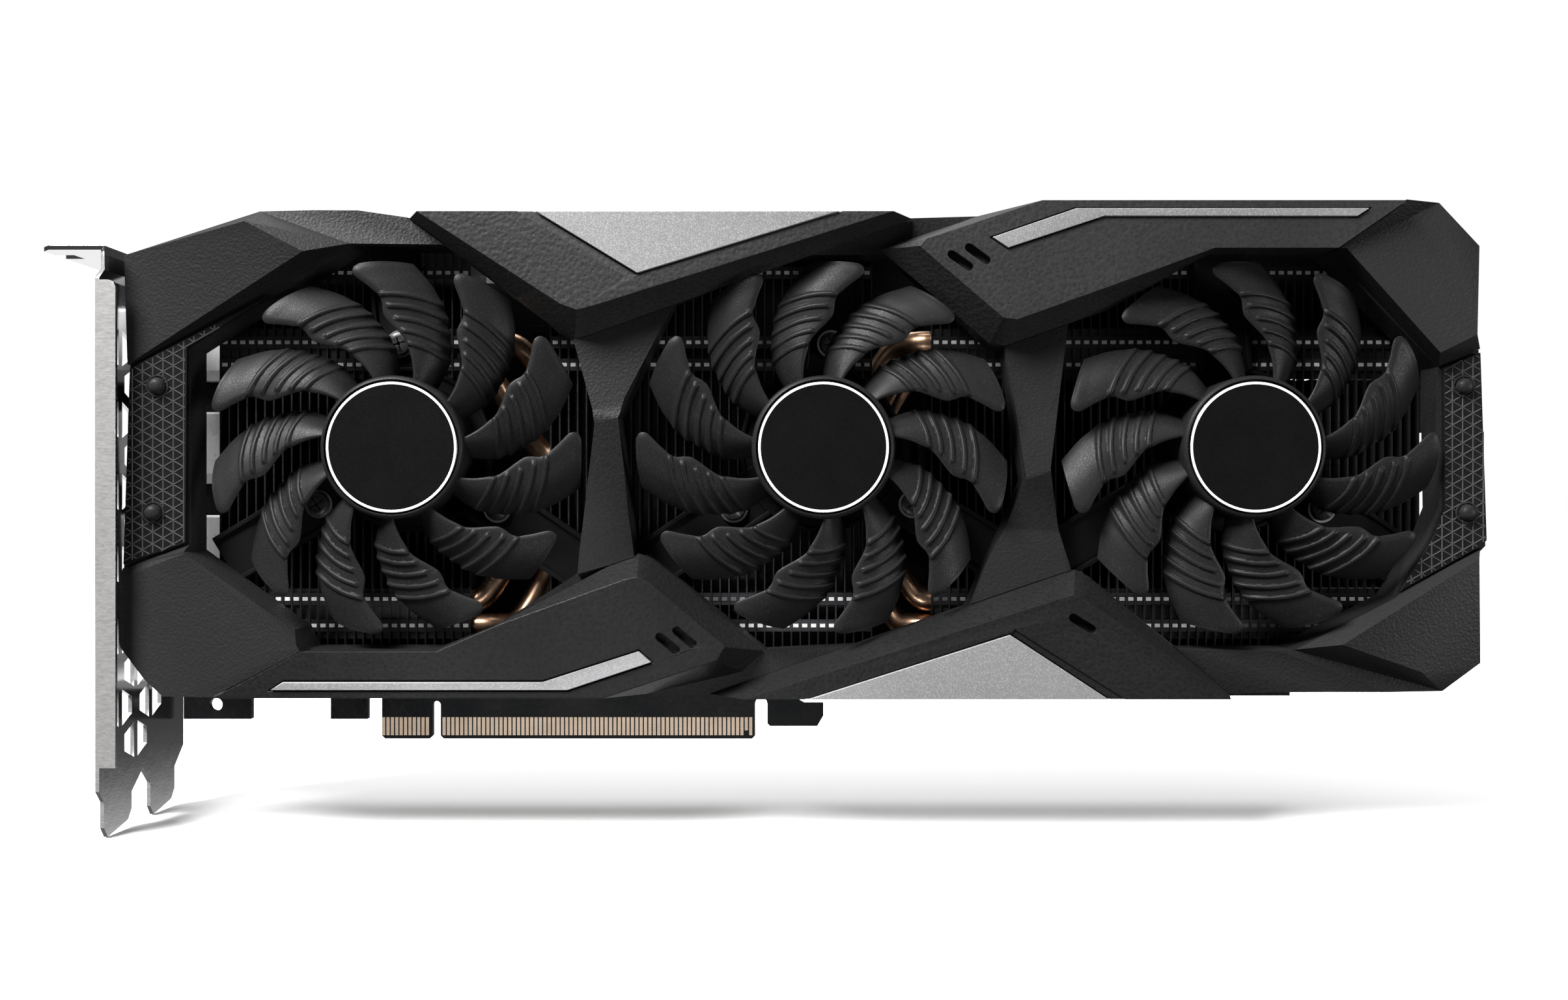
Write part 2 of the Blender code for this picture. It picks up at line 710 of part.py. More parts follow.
def make_carrier(side, axis):
    hand = -1.0 if side == "middle" else 1.0
    mesh = plate_mesh("carrier_" + side, carrier_outline(hand), CARRIER_FRONT, CARRIER_BACK)
    carrier = add_object(f"fan_carrier_{side}", mesh, "shroud_plastic", axis)
    round_plate = disc_outline(CARRIER_DISC, sides=28)
    mesh = plate_mesh("disc", round_plate, CARRIER_FRONT + 0.1, CARRIER_BACK - 0.1)
    modifier_boolean(carrier, hidden(f"carrier_disc_{side}", mesh, axis), "UNION")
    front, back = CARRIER_FRONT - 2.0, CARRIER_FRONT - GAP
    head = [(0, front), (SCREW_HEAD - 0.4, front), (SCREW_HEAD, front + 0.4), (SCREW_HEAD, back), (0, back)]
    for number, turn in enumerate(SCREW_ANGLES, 1):
        x, z = arc_point(turn, SCREW_RADIUS)
        mesh = turned_mesh("screw", head, 16)
        smooth(add_object(f"fan_screw_{side}_{number}", mesh, "dark_steel", axis, (x * hand, 0, z)))


def make_fans():
    for side, x in zip(FAN_NAMES, FAN_X):
        axis = add_empty(f"fan_axis_{side}", (x, 0.0, FAN_HEIGHT))
        make_rotor(side, axis)
        make_motor(side, axis)
        make_carrier(side, axis)


# ---------------------------------------------------------------- shroud

FRAME_OUTLINE = [
    (-93.4, 104.8), (-65.5, 113.9), (-45.4, 114.2), (-33.0, 112.4), (69.0, 112.8), (82.7, 113.2),
    (95.0, 115.2), (170.0, 115.2), (176.6, 115.2), (184.8, 106.4), (184.4, 88.5), (186.2, 85.6),
    (187.6, 45.0), (185.0, 42.4), (185.6, 21.0), (178.0, 15.2), (143.5, 14.8), (134.3, 14.4),
    (-84.4, 14.4), (-88.5, 17.8), (-94.0, 24.2), (-94.05, 40.4), (-92.7, 82.4),
]
LEFT_OPENING = [
    (-80.2, 85.6), (-46.5, 107.0), (-25.6, 107.0), (-4.1, 89.1), (-1.0, 87.6), (3.2, 72.8),
    (3.6, 69.9), (1.3, 52.9), (0.0, 39.5), (-16.8, 28.7), (-29.4, 23.8), (-55.9, 23.8),
    (-57.9, 27.9), (-80.2, 44.0),
]
MIDDLE_OPENING = [
    (19.7, 95.7), (42.6, 105.2), (64.8, 105.2), (85.3, 86.7), (88.0, 86.4), (92.2, 58.7),
    (88.2, 49.3), (80.5, 32.2), (57.8, 24.2), (38.9, 23.2), (14.0, 43.0), (11.6, 43.0),
    (10.6, 52.9), (8.5, 71.4), (10.0, 74.8),
]
RIGHT_OPENING = [
    (101.2, 91.0), (111.8, 97.2), (130.6, 105.4), (155.2, 105.4), (177.7, 82.0), (178.2, 52.9),
    (175.6, 46.4), (168.4, 34.5), (147.3, 23.6), (124.1, 23.6), (104.0, 39.7), (101.8, 40.0),
    (99.0, 48.5), (97.3, 60.3),
]

UPPER_LEFT_CORNER = {
    "end_top": (-93.45, 104.9, -31.2),
    "crest_left": (-65.5, 114.0, -31.0),
    "crest_middle": (-54.7, 114.3, -30.8),
    "crest_right": (-45.4, 114.3, -30.6),
    "crest_end": (-32.0, 112.4, -30.3),
    "peak_left": (-66.8, 111.0, -36.0),
    "peak_right": (-55.0, 104.9, -36.0),
    "rim_left": (-46.6, 107.1, -32.6),
    "rim_middle": (-35.5, 107.1, -32.0),
    "rim_right": (-27.6, 107.1, -31.4),
    "rim_end": (-24.0, 106.6, -30.3),
    "end_bottom": (-92.75, 82.4, -31.2),
}
UPPER_LEFT_FACETS = [
    ["end_top", "crest_left", "peak_left"],
    ["end_top", "peak_left", "peak_right", "end_bottom"],
    ["peak_left", "crest_left", "rim_left", "peak_right"],
    ["crest_left", "crest_middle", "rim_middle", "rim_left"],
    ["crest_middle", "crest_right", "rim_right", "rim_middle"],
    ["crest_right", "crest_end", "rim_end", "rim_right"],
    ["peak_right", "rim_left", "end_bottom"],
]

LOWER_LEFT_CORNER = {
    "end_top": (-94.1, 38.4, -31.4),
    "step_top": (-94.1, 40.4, -30.4),
    "step_inner": (-80.2, 45.4, -30.4),
    "inner_top": (-79.6, 43.6, -34.6),
    "rim_top": (-77.2, 43.9, -31.0),
    "rim_low": (-57.4, 28.2, -31.0),
    "inner_low": (-55.2, 24.0, -35.4),
    "foot_right": (-74.0, 14.35, -34.6),
    "foot_left": (-84.4, 14.35, -33.6),
    "chamfer_low": (-88.6, 17.8, -32.8),
    "chamfer_high": (-94.05, 24.2, -31.6),
}
LOWER_LEFT_FACETS = [
    ["step_top", "step_inner", "inner_top", "end_top"],
    ["step_inner", "rim_top", "inner_top"],
    ["rim_top", "rim_low", "inner_low", "inner_top"],
    ["end_top", "inner_top", "inner_low", "foot_right"],
    ["end_top", "foot_right", "foot_left", "chamfer_low"],
    ["end_top", "chamfer_low", "chamfer_high"],
]

UPPER_RIGHT_CORNER = {
    "arm_top": (168.3, 115.25, -36.6),
    "crest": (176.4, 115.25, -33.4),
    "shoulder": (184.85, 106.5, -33.0),
    "waist": (184.45, 88.4, -33.0),
    "inner_low": (175.6, 84.4, -35.6),
    "inner_top": (156.2, 105.4, -36.6),
    "arm_low": (154.4, 105.4, -36.6),
    "step_low": (177.6, 82.2, -30.6),
    "step_high": (186.2, 85.7, -30.6),
}
UPPER_RIGHT_FACETS = [
    ["arm_top", "crest", "inner_top", "arm_low"],
    ["crest", "shoulder", "waist", "inner_low", "inner_top"],
    ["inner_low", "waist", "step_high", "step_low"],
]

LOWER_RIGHT_CORNER = {
    "step_high": (186.2, 44.4, -30.6),
    "shoulder": (185.05, 42.5, -32.6),
    "base": (185.65, 21.0, -31.8),
    "foot": (178.0, 15.15, -31.4),
    "knee": (172.4, 19.4, -34.4),
    "ridge": (155.6, 25.2, -36.2),
    "rim_high": (168.2, 34.6, -31.6),
    "rim_low": (147.2, 23.7, -31.6),
    "rim_stripe": (143.5, 23.7, -32.6),
    "rim_mid": (136.0, 23.7, -31.6),
    "rim_left": (127.0, 23.7, -31.2),
    "rim_end": (122.0, 24.6, -30.3),
    "foot_stripe": (166.5, 15.05, -32.2),
    "foot_mid": (155.0, 14.95, -31.4),
    "foot_left": (143.5, 14.85, -31.0),
    "foot_end": (134.0, 14.45, -30.3),
}
LOWER_RIGHT_FACETS = [
    ["step_high", "shoulder", "ridge", "rim_high"],
    ["rim_high", "ridge", "rim_low"],
    ["shoulder", "base", "knee", "ridge"],
    ["base", "foot", "knee"],
    ["ridge", "knee", "foot", "foot_stripe", "rim_low"],
    ["rim_low", "foot_stripe", "rim_stripe"],
    ["rim_stripe", "foot_stripe", "foot_mid", "rim_mid"],
    ["rim_mid", "foot_mid", "foot_left", "rim_left"],
    ["rim_left", "foot_left", "foot_end", "rim_end"],
]

LEFT_STRUT = {
    "top_left": (-1.2, 88.2, -30.4),
    "top_right": (20.4, 96.2, -30.4),
    "waist_right": (9.7, 75.6, -31.6),
    "waist_left": (3.0, 73.4, -31.6),
    "step_right": (8.7, 71.6, -33.0),
    "step_left": (3.7, 70.0, -33.0),
    "low_right": (10.6, 51.0, -32.4),
    "low_left": (1.4, 51.0, -32.4),
    "foot_right": (11.9, 42.6, -31.4),
    "foot_left": (-0.2, 39.2, -31.4),
}
RIGHT_STRUT = {
    "top_left": (88.2, 86.4, -30.4),
    "top_right": (101.2, 91.2, -30.4),
    "waist_right": (97.2, 61.0, -32.4),
    "waist_left": (92.2, 59.2, -32.4),
    "step_right": (98.4, 55.0, -31.6),
    "step_left": (90.2, 54.0, -31.6),
    "low_right": (99.3, 47.6, -31.2),
    "low_left": (87.4, 47.6, -31.2),
    "foot_right": (101.9, 39.8, -30.6),
    "foot_left": (80.4, 32.0, -30.6),
}
STRUT_FACETS = [
    ["top_left", "top_right", "waist_right", "waist_left"],
    ["waist_left", "waist_right", "step_right", "step_left"],
    ["step_left", "step_right", "low_right", "low_left"],
    ["low_left", "low_right", "foot_right", "foot_left"],
]


SHROUD_BLOCKS = {
    "upper_left_corner": (UPPER_LEFT_CORNER, UPPER_LEFT_FACETS),
    "lower_left_corner": (LOWER_LEFT_CORNER, LOWER_LEFT_FACETS),
    "upper_right_corner": (UPPER_RIGHT_CORNER, UPPER_RIGHT_FACETS),
    "lower_right_corner": (LOWER_RIGHT_CORNER, LOWER_RIGHT_FACETS),
    "left_strut": (LEFT_STRUT, STRUT_FACETS),
    "right_strut": (RIGHT_STRUT, STRUT_FACETS),
}
SKIRT_DEPTH = -8.0
TOP_SKIRTS = [(-64.0, 66.0), (86.0, 104.0), (147.0, 176.0)]
BOTTOM_SKIRTS = [(-82.0, 30.0), (52.0, 132.0)]


def make_shroud():
    mesh = plate_mesh("frame", FRAME_OUTLINE, FRAME_FRONT, FRAME_BACK)
    shroud = add_object("fan_shroud", mesh, "shroud_plastic")
    for name, (points, faces) in SHROUD_BLOCKS.items():
        weld_on(shroud, name, facet_mesh(name, points, faces, FRAME_FRONT + 1.0))
    skirts = [(span, 112.0) for span in TOP_SKIRTS] + [(span, 14.6) for span in BOTTOM_SKIRTS]
    for number, ((left, right), bottom) in enumerate(skirts, 1):
        low, high = (left, FRAME_BACK - 1, bottom), (right, SKIRT_DEPTH, bottom + 1.6)
        weld_on(shroud, f"skirt_{number}", box_mesh("skirt", low, high))
    openings = []
    for outline in (LEFT_OPENING, MIDDLE_OPENING, RIGHT_OPENING):
        openings.append(plate_mesh("opening", outline, COVER_FRONT - 7, FRAME_BACK + 1))
    cut(shroud, "fan_openings", joined_mesh("fan_openings", openings))
    for name, (base, face) in COVERS.items():
        wide = grown(face, GAP)
        levels = [(COVER_FRONT - 7, wide), (COVER_FRONT, wide), (SEAT_DEPTH, grown(base, GAP))]
        cut(shroud, name + "_room", loft_mesh(name + "_room", levels))
    for name, outline in END_PANELS.items():
        room = plate_mesh(name + "_room", grown(outline, GAP), COVER_FRONT - 7, SEAT_DEPTH)
        cut(shroud, name + "_room", room)


COVERS = {
    "upper_v_cover": (
        [(-35.0, 112.6), (-3.8, 89.1), (-0.8, 87.8), (2.0, 88.5), (69.0, 112.6)],
        [(-31.4, 112.6), (-2.6, 94.0), (0.8, 92.8), (4.2, 93.6), (64.6, 112.6)],
    ),
    "upper_arm_cover": (
        [(62.2, 106.3), (85.0, 86.8), (88.2, 86.4), (109.0, 93.6), (130.0, 105.2),
         (154.0, 105.2), (167.9, 115.0), (95.0, 115.0), (82.7, 113.2)],
        [(69.8, 105.6), (86.6, 91.2), (89.4, 90.8), (109.0, 97.8), (129.2, 105.2),
         (154.0, 105.2), (167.9, 114.8), (94.5, 114.8), (71.0, 107.0)],
    ),
    "lower_arm_cover": (
        [(-54.6, 23.9), (-29.2, 23.9), (-16.6, 28.9), (9.6, 42.6), (12.6, 43.6), (15.6, 42.4),
         (38.4, 23.4), (34.0, 19.0), (14.0, 14.4), (-72.6, 14.4)],
        [(-54.6, 24.0), (-27.7, 24.0), (-16.0, 29.0), (10.6, 38.6), (13.0, 39.0), (15.2, 37.9),
         (30.6, 25.0), (29.0, 22.2), (6.1, 14.6), (-72.6, 14.6)],
    ),
    "lower_v_cover": (
        [(27.0, 14.4), (99.4, 39.2), (102.6, 40.2), (105.4, 38.8), (134.6, 14.4)],
        [(34.4, 14.4), (98.0, 34.6), (100.8, 35.3), (103.4, 34.2), (132.4, 14.4)],
    ),
}
TRIMS = {
    "upper_v_trim": [(-7.4, 112.5), (13.0, 100.1), (53.6, 112.5)],
    "upper_arm_trim": [
        (84.4, 107.3), (87.5, 105.2), (106.6, 111.5), (157.6, 111.5), (160.0, 113.1), (101.2, 113.1),
    ],
    "lower_arm_trim": [
        (-58.2, 17.9), (-60.6, 16.3), (-1.0, 16.3), (15.8, 21.9), (13.3, 24.1), (-6.0, 17.9),
    ],
    "lower_v_trim": [(47.4, 14.5), (107.6, 14.5), (87.9, 27.4)],
}
SLOTS = {
    "upper_arm_cover": [((76.2, 103.9), (79.8, 101.4)), ((79.7, 105.3), (83.3, 102.7))],
    "lower_arm_cover": [((17.5, 26.9), (20.7, 24.3)), ((20.9, 28.2), (24.1, 25.5))],
    "lower_v_cover": [((100.6, 30.8), (104.5, 28.4))],
}
SLOT_HALF = 0.85
BANDS = {
    "upper_v_cover": [(-13.5, 114.0), (10.6, 99.4), (13.2, 99.9), (13.0, 101.0), (-8.0, 114.0)],
    "lower_v_cover": [(88.4, 27.9), (88.8, 28.5), (112.7, 13.4), (108.0, 13.4), (87.9, 26.6)],
}
BAND_DEPTH = 0.4
TRIM_SEAT = 0.5
TRIM_PROUD = 0.5


def slot_outline(start, end, half):
    """A slim bar with round ends, from start to end."""
    along = math.atan2(end[1] - start[1], end[0] - start[0])
    points = []
    for centre, base in ((end, along - math.pi / 2), (start, along + math.pi / 2)):
        for step in range(5):
            turn = base + math.pi * step / 4
            points.append((centre[0] + half * math.cos(turn), centre[1] + half * math.sin(turn)))
    return points


def grown(outline, by):
    """The outline pushed outwards by a distance, corner by corner."""
    count = len(outline)
    area = sum(a[0] * b[1] - b[0] * a[1] for a, b in zip(outline, outline[1:] + outline[:1]))
    hand = 1 if area > 0 else -1
    result = []
    for index in range(count):
        before = Vector(outline[index]) - Vector(outline[index - 1])
        after = Vector(outline[(index + 1) % count]) - Vector(outline[index])
        one = Vector((before.y, -before.x)).normalized() * hand
        two = Vector((after.y, -after.x)).normalized() * hand
        middle = (one + two).normalized()
        reach = by / max(0.35, middle.dot(one))
        result.append((outline[index][0] + middle.x * reach, outline[index][1] + middle.y * reach))
    return result


def make_covers():
    ahead = COVER_FRONT - 3
    for name, (base, face) in COVERS.items():
        mesh = loft_mesh(name, [(COVER_FRONT, face), (FRAME_FRONT - GAP, base)])
        cover = add_object(name, mesh, "shroud_plastic")
        if name in BANDS:
            cut(cover, name + "_band", plate_mesh("band", BANDS[name], ahead, COVER_FRONT + BAND_DEPTH))
        trim = name.replace("cover", "trim")
        seat = plate_mesh("seat", grown(TRIMS[trim], GAP), ahead, COVER_FRONT + TRIM_SEAT + GAP)
        cut(cover, trim + "_seat", seat)
        for number, (start, end) in enumerate(SLOTS.get(name, []), 1):
            hole = plate_mesh("slot", slot_outline(start, end, SLOT_HALF), ahead, COVER_FRONT + 2.5)
            cut(cover, f"{name}_slot_{number}", hole)
    for name, outline in TRIMS.items():
        mesh = plate_mesh(name, outline, COVER_FRONT - TRIM_PROUD, COVER_FRONT + TRIM_SEAT)
        add_object(name, mesh, "silver_trim")


END_PANELS = {
    "left_end_panel": [
        (-92.3, 81.6), (-93.65, 41.2), (-80.8, 45.6), (-80.5, 85.8), (-63.5, 96.6), (-63.5, 96.9),
    ],
    "right_end_panel": [
        (178.3, 81.8), (178.5, 52.8), (175.9, 46.2), (169.4, 35.6), (185.8, 44.8), (187.3, 46.2),
        (186.0, 84.9),
    ],
}
PANEL_FRONT = -31.2
PINS = {
    "left_panel_pin_upper": (-86.5, 78.0),
    "left_panel_pin_lower": (-87.3, 51.9),
    "right_panel_pin_upper": (182.5, 77.9),
    "right_panel_pin_lower": (183.1, 51.9),
}


def make_end_panels():
    for name, outline in END_PANELS.items():
        mesh = plate_mesh(name, outline, PANEL_FRONT, FRAME_FRONT - GAP)
        add_object(name, mesh, "shroud_plastic")
    for name, (x, z) in PINS.items():
        back = PANEL_FRONT - GAP
        head = [(0, back - 1.5), (0.9, back - 1.35), (1.55, back - 0.8), (1.75, back), (0, back)]
        pin = add_object(name, turned_mesh(name, head, 16), "socket_plastic", None, (x, 0, z))
        smooth(pin, 60)


def main():
    clear_scene()
    make_board()
    make_backplate()
    make_bracket()
    make_ports()
    make_power_sockets()
    make_fin_stacks()
    make_heat_pipes()
    make_fans()
    make_shroud()
    make_covers()
    make_end_panels()


main()
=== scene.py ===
"""Looks for the triple-fan graphics card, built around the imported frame.

Axes: +X runs from the bracket to the far end, +Z up from the slot, and -Y is the fan side.
Lengths in the piece makers are millimetres. The end panels' outlines repeat those of the CAD part.
"""

import math

import bmesh
import bpy
import numpy as np
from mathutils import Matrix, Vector


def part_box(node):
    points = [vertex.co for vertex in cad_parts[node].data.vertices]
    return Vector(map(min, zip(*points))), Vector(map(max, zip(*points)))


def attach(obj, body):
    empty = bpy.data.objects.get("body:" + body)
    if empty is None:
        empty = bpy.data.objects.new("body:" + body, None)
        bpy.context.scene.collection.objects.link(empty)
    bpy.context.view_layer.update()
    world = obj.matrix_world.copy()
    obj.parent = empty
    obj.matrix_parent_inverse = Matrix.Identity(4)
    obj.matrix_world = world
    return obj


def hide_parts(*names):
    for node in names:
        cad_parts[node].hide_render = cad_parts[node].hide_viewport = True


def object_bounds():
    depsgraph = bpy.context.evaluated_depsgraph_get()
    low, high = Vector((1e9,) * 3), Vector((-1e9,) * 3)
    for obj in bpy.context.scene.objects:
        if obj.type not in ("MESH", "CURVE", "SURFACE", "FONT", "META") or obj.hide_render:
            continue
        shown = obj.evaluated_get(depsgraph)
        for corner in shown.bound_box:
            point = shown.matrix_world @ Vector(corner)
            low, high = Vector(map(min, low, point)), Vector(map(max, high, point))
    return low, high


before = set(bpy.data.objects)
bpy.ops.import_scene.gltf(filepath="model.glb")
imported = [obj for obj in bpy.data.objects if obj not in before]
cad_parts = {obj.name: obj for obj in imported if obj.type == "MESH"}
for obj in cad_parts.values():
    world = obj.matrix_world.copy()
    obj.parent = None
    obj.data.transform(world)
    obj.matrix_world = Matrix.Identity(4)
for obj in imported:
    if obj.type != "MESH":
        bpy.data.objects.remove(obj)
cad_low, cad_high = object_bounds()
MM = 0.001
RANGE_SOCKETS = ("From Min", "From Max", "To Min", "To Max")


# ---------------------------------------------------------------- material helpers


class Look:
    """A procedural material under construction: nodes read the object's own coordinates."""

    def __init__(self, name, rough, metal=0.0, **sockets):
        self.material = bpy.data.materials.new(name)
        self.material.use_nodes = True
        self.tree = self.material.node_tree
        self.shader = self.tree.nodes["Principled BSDF"]
        self.shader.inputs["Roughness"].default_value = rough
        self.shader.inputs["Metallic"].default_value = metal
        for key, value in sockets.items():
            self.shader.inputs[key.replace("_", " ")].default_value = value
        self.space = self.node("ShaderNodeTexCoord").outputs["Object"]

    def node(self, kind, **settings):
        node = self.tree.nodes.new(kind)
        for key, value in settings.items():
            setattr(node, key, value)
        return node

    def link(self, source, node, socket):
        self.tree.links.new(source, node.inputs[socket])

    def stretched(self, scale):
        """The object's coordinates scaled by axis, for brushed or drawn marks."""
        mapping = self.node("ShaderNodeMapping")
        mapping.inputs["Scale"].default_value = scale
        self.link(self.space, mapping, "Vector")
        return mapping.outputs["Vector"]

    def noise(self, scale, detail=3.0, rough=0.5, space=None):
        node = self.node("ShaderNodeTexNoise")
        node.inputs["Scale"].default_value = scale
        node.inputs["Detail"].default_value = detail
        node.inputs["Roughness"].default_value = rough
        self.link(space or self.space, node, "Vector")
        return node.outputs["Fac"]

    def cells(self, scale, feature="SMOOTH_F1"):
        node = self.node("ShaderNodeTexVoronoi", feature=feature)
        node.inputs["Scale"].default_value = scale
        self.link(self.space, node, "Vector")
        return node.outputs["Distance"]

    def ranged(self, value, low, high, to_low=0.0, to_high=1.0):
        node = self.node("ShaderNodeMapRange")
        for socket, number in zip(RANGE_SOCKETS, (low, high, to_low, to_high)):
            node.inputs[socket].default_value = number
        self.link(value, node, "Value")
        return node.outputs["Result"]

    def maths(self, operation, one, two):
        node = self.node("ShaderNodeMath", operation=operation)
        for index, value in enumerate((one, two)):
            if isinstance(value, (int, float)):
                node.inputs[index].default_value = value
            else:
                self.tree.links.new(value, node.inputs[index])
        return node.outputs["Value"]

    def mixed(self, factor, one, two):
        node = self.node("ShaderNodeMix", data_type="RGBA")
        self.tree.links.new(factor, node.inputs["Factor"])
        for socket, value in ((6, one), (7, two)):
            if isinstance(value, (tuple, list)):
                node.inputs[socket].default_value = (*value, 1.0)
            else:
                self.tree.links.new(value, node.inputs[socket])
        return node.outputs[2]

    def colour(self, value):
        self.link(value, self.shader, "Base Color")

    def rough(self, value):
        self.link(value, self.shader, "Roughness")

    def bump(self, *layers):
        """Layers are (height, distance in millimetres), applied one over the other."""
        normal = None
        for height, distance in layers:
            node = self.node("ShaderNodeBump")
            node.inputs["Distance"].default_value = distance * MM
            node.inputs["Strength"].default_value = 1.0
            self.link(height, node, "Height")
            if normal:
                self.link(normal, node, "Normal")
            normal = node.outputs["Normal"]
        self.link(normal, self.shader, "Normal")

    def worn(self, base, edge, amount=0.6):
        """The base colour, lighter along convex edges where handling polishes it."""
        bare = self.node("ShaderNodeNewGeometry").outputs["Pointiness"]
        return self.mixed(self.ranged(bare, 0.52, 0.6, 0.0, amount), base, edge)


def scaled(colour, factor):
    return tuple(c * factor for c in colour)


def shades(colour, low, high):
    """A darker and a lighter tone of a colour."""
    return scaled(colour, low), scaled(colour, high)


def grained_plastic(name, colour, rough, scale, depth, shine):
    """Moulded plastic with a leather-like grain, a cloudy tone and polished edges."""
    look = Look(name, rough, Specular_IOR_Level=shine)
    dark, light = shades(colour, 0.82, 1.2)
    clouds = look.noise(45, 4.0)
    fine = look.noise(scale * 1.7, 2.0)
    grain = look.cells(scale)
    base = look.mixed(look.ranged(clouds, 0.3, 0.7), dark, light)
    pits = look.mixed(look.ranged(grain, 0.05, 0.5, 0.75, 0.0), base, scaled(colour, 0.5))
    look.colour(look.worn(pits, scaled(colour, 2.4), 0.5))
    look.rough(look.ranged(fine, 0.3, 0.7, rough - 0.07, rough + 0.08))
    look.bump((grain, depth), (fine, depth * 0.4))
    return look.material


def speckled_plastic(name, colour, rough):
    """Fan plastic: a fine sparkle of lighter specks over a soft satin."""
    look = Look(name, rough, Specular_IOR_Level=0.095)
    dark, light = shades(colour, 0.8, 1.15)
    specks = look.noise(3600, 2.0, 0.7)
    clouds = look.noise(60, 3.0)
    base = look.mixed(look.ranged(clouds, 0.3, 0.7), dark, light)
    base = look.mixed(look.ranged(specks, 0.56, 0.72), base, scaled(colour, 2.6))
    look.colour(look.worn(base, scaled(colour, 2.0), 0.4))
    look.rough(look.ranged(specks, 0.35, 0.65, rough + 0.08, rough - 0.08))
    look.bump((specks, 0.035))
    return look.material


def silver_paint():
    look = Look("silver_satin", 0.42, 0.35, Coat_Weight=0.1, Coat_Roughness=0.3)
    flakes = look.noise(4200, 1.0, 0.6)
    clouds = look.noise(50, 3.0)
    base = look.mixed(look.ranged(clouds, 0.3, 0.7), (0.155, 0.155, 0.157), (0.185, 0.185, 0.187))
    base = look.mixed(look.ranged(flakes, 0.5, 0.66), base, (0.27, 0.27, 0.274))
    look.colour(look.worn(base, (0.5, 0.5, 0.51), 0.5))
    look.rough(look.ranged(flakes, 0.3, 0.7, 0.38, 0.5))
    look.bump((flakes, 0.012))
    return look.material


def brushed_metal(name, colour, rough, stretch, metal=1.0):
    """Sheet metal with fine drawn lines along one axis, smudges and bright edges."""
    look = Look(name, rough, metal)
    lines = look.noise(1.0, 3.0, 0.6, look.stretched(stretch))
    smudge = look.noise(70, 4.0, 0.6)
    dark, light = shades(colour, 0.84, 1.1)
    base = look.mixed(look.ranged(lines, 0.3, 0.7), dark, light)
    base = look.mixed(look.ranged(smudge, 0.5, 0.8, 0.0, 0.35), base, scaled(colour, 0.7))
    look.colour(look.worn(base, (0.9, 0.9, 0.9), 0.5))
    look.rough(look.ranged(smudge, 0.3, 0.7, rough - 0.06, rough + 0.1))
    look.bump((lines, 0.012), (look.noise(2600, 2.0), 0.01))
    return look.material


def plated_steel():
    """Nickel-bright sheet, with a satin drawn finish on the front of its long flange."""
    look = Look("bracket_steel", 0.3, 1.0)
    facing = look.node("ShaderNodeSeparateXYZ")
    look.link(look.node("ShaderNodeTexCoord").outputs["Normal"], facing, "Vector")
    place = look.node("ShaderNodeSeparateXYZ")
    look.link(look.node("ShaderNodeTexCoord").outputs["Generated"], place, "Vector")
    front = look.ranged(look.maths("ABSOLUTE", facing.outputs["Y"], 0.0), 0.6, 0.9)
    flange = look.maths("MULTIPLY", front, look.ranged(place.outputs["Z"], 0.988, 0.991, 1.0, 0.0))
    lines = look.noise(1.0, 4.0, 0.7, look.stretched((700, 700, 2600)))
    smudge = look.noise(60, 4.0, 0.6)
    satin = look.mixed(look.ranged(lines, 0.3, 0.7), (0.2, 0.196, 0.19), (0.32, 0.315, 0.31))
    mirror = look.mixed(look.ranged(smudge, 0.3, 0.8), (0.66, 0.66, 0.67), (0.58, 0.58, 0.59))
    look.colour(look.mixed(flange, mirror, satin))
    look.rough(look.ranged(flange, 0.0, 1.0, 0.12, 0.46))
    look.link(look.ranged(flange, 0.0, 1.0, 1.0, 0.4), look.shader, "Metallic")
    look.bump((lines, 0.006), (look.noise(300, 3.0), 0.012))
    return look.material


def copper_metal():
    look = Look("copper_pipe", 0.3, 1.0)
    rings = look.noise(1.0, 2.0, 0.5, look.stretched((900, 60, 60)))
    stain = look.noise(160, 4.0, 0.6)
    base = look.mixed(look.ranged(stain, 0.35, 0.7), (0.74, 0.47, 0.31), (0.42, 0.24, 0.14))
    look.colour(look.mixed(look.ranged(rings, 0.45, 0.75, 0.0, 0.5), base, (0.9, 0.64, 0.46)))
    look.rough(look.ranged(stain, 0.3, 0.7, 0.22, 0.42))
    look.bump((rings, 0.015))
    return look.material


def fin_metal():
    look = Look("fin_black", 0.34, 0.85)
    lines = look.noise(1.0, 3.0, 0.6, look.stretched((60, 60, 1500)))
    clouds = look.noise(90, 3.0)
    base = look.mixed(look.ranged(clouds, 0.3, 0.7), (0.008, 0.008, 0.009), (0.022, 0.022, 0.024))
    look.colour(look.worn(base, (0.16, 0.16, 0.17), 0.3))
    look.rough(look.ranged(lines, 0.3, 0.7, 0.26, 0.42))
    look.bump((lines, 0.01))
    return look.material


def tie_metal():
    """Bare folded fin tips, painted bright in patches as painted glints, and dull elsewhere."""
    look = Look("tie_metal", 0.3, 0.45)
    glint_patches = look.noise(38, 2.0)
    fine = look.noise(900, 2.0)
    # The bright tone in the patches is a painted glint; the dull tone is the tips' own colour.
    look.colour(look.mixed(look.ranged(glint_patches, 0.38, 0.5), (0.12, 0.12, 0.122), (0.93, 0.92, 0.9)))
    look.rough(look.ranged(fine, 0.3, 0.7, 0.25, 0.5))
    look.bump((fine, 0.02))
    return look.material


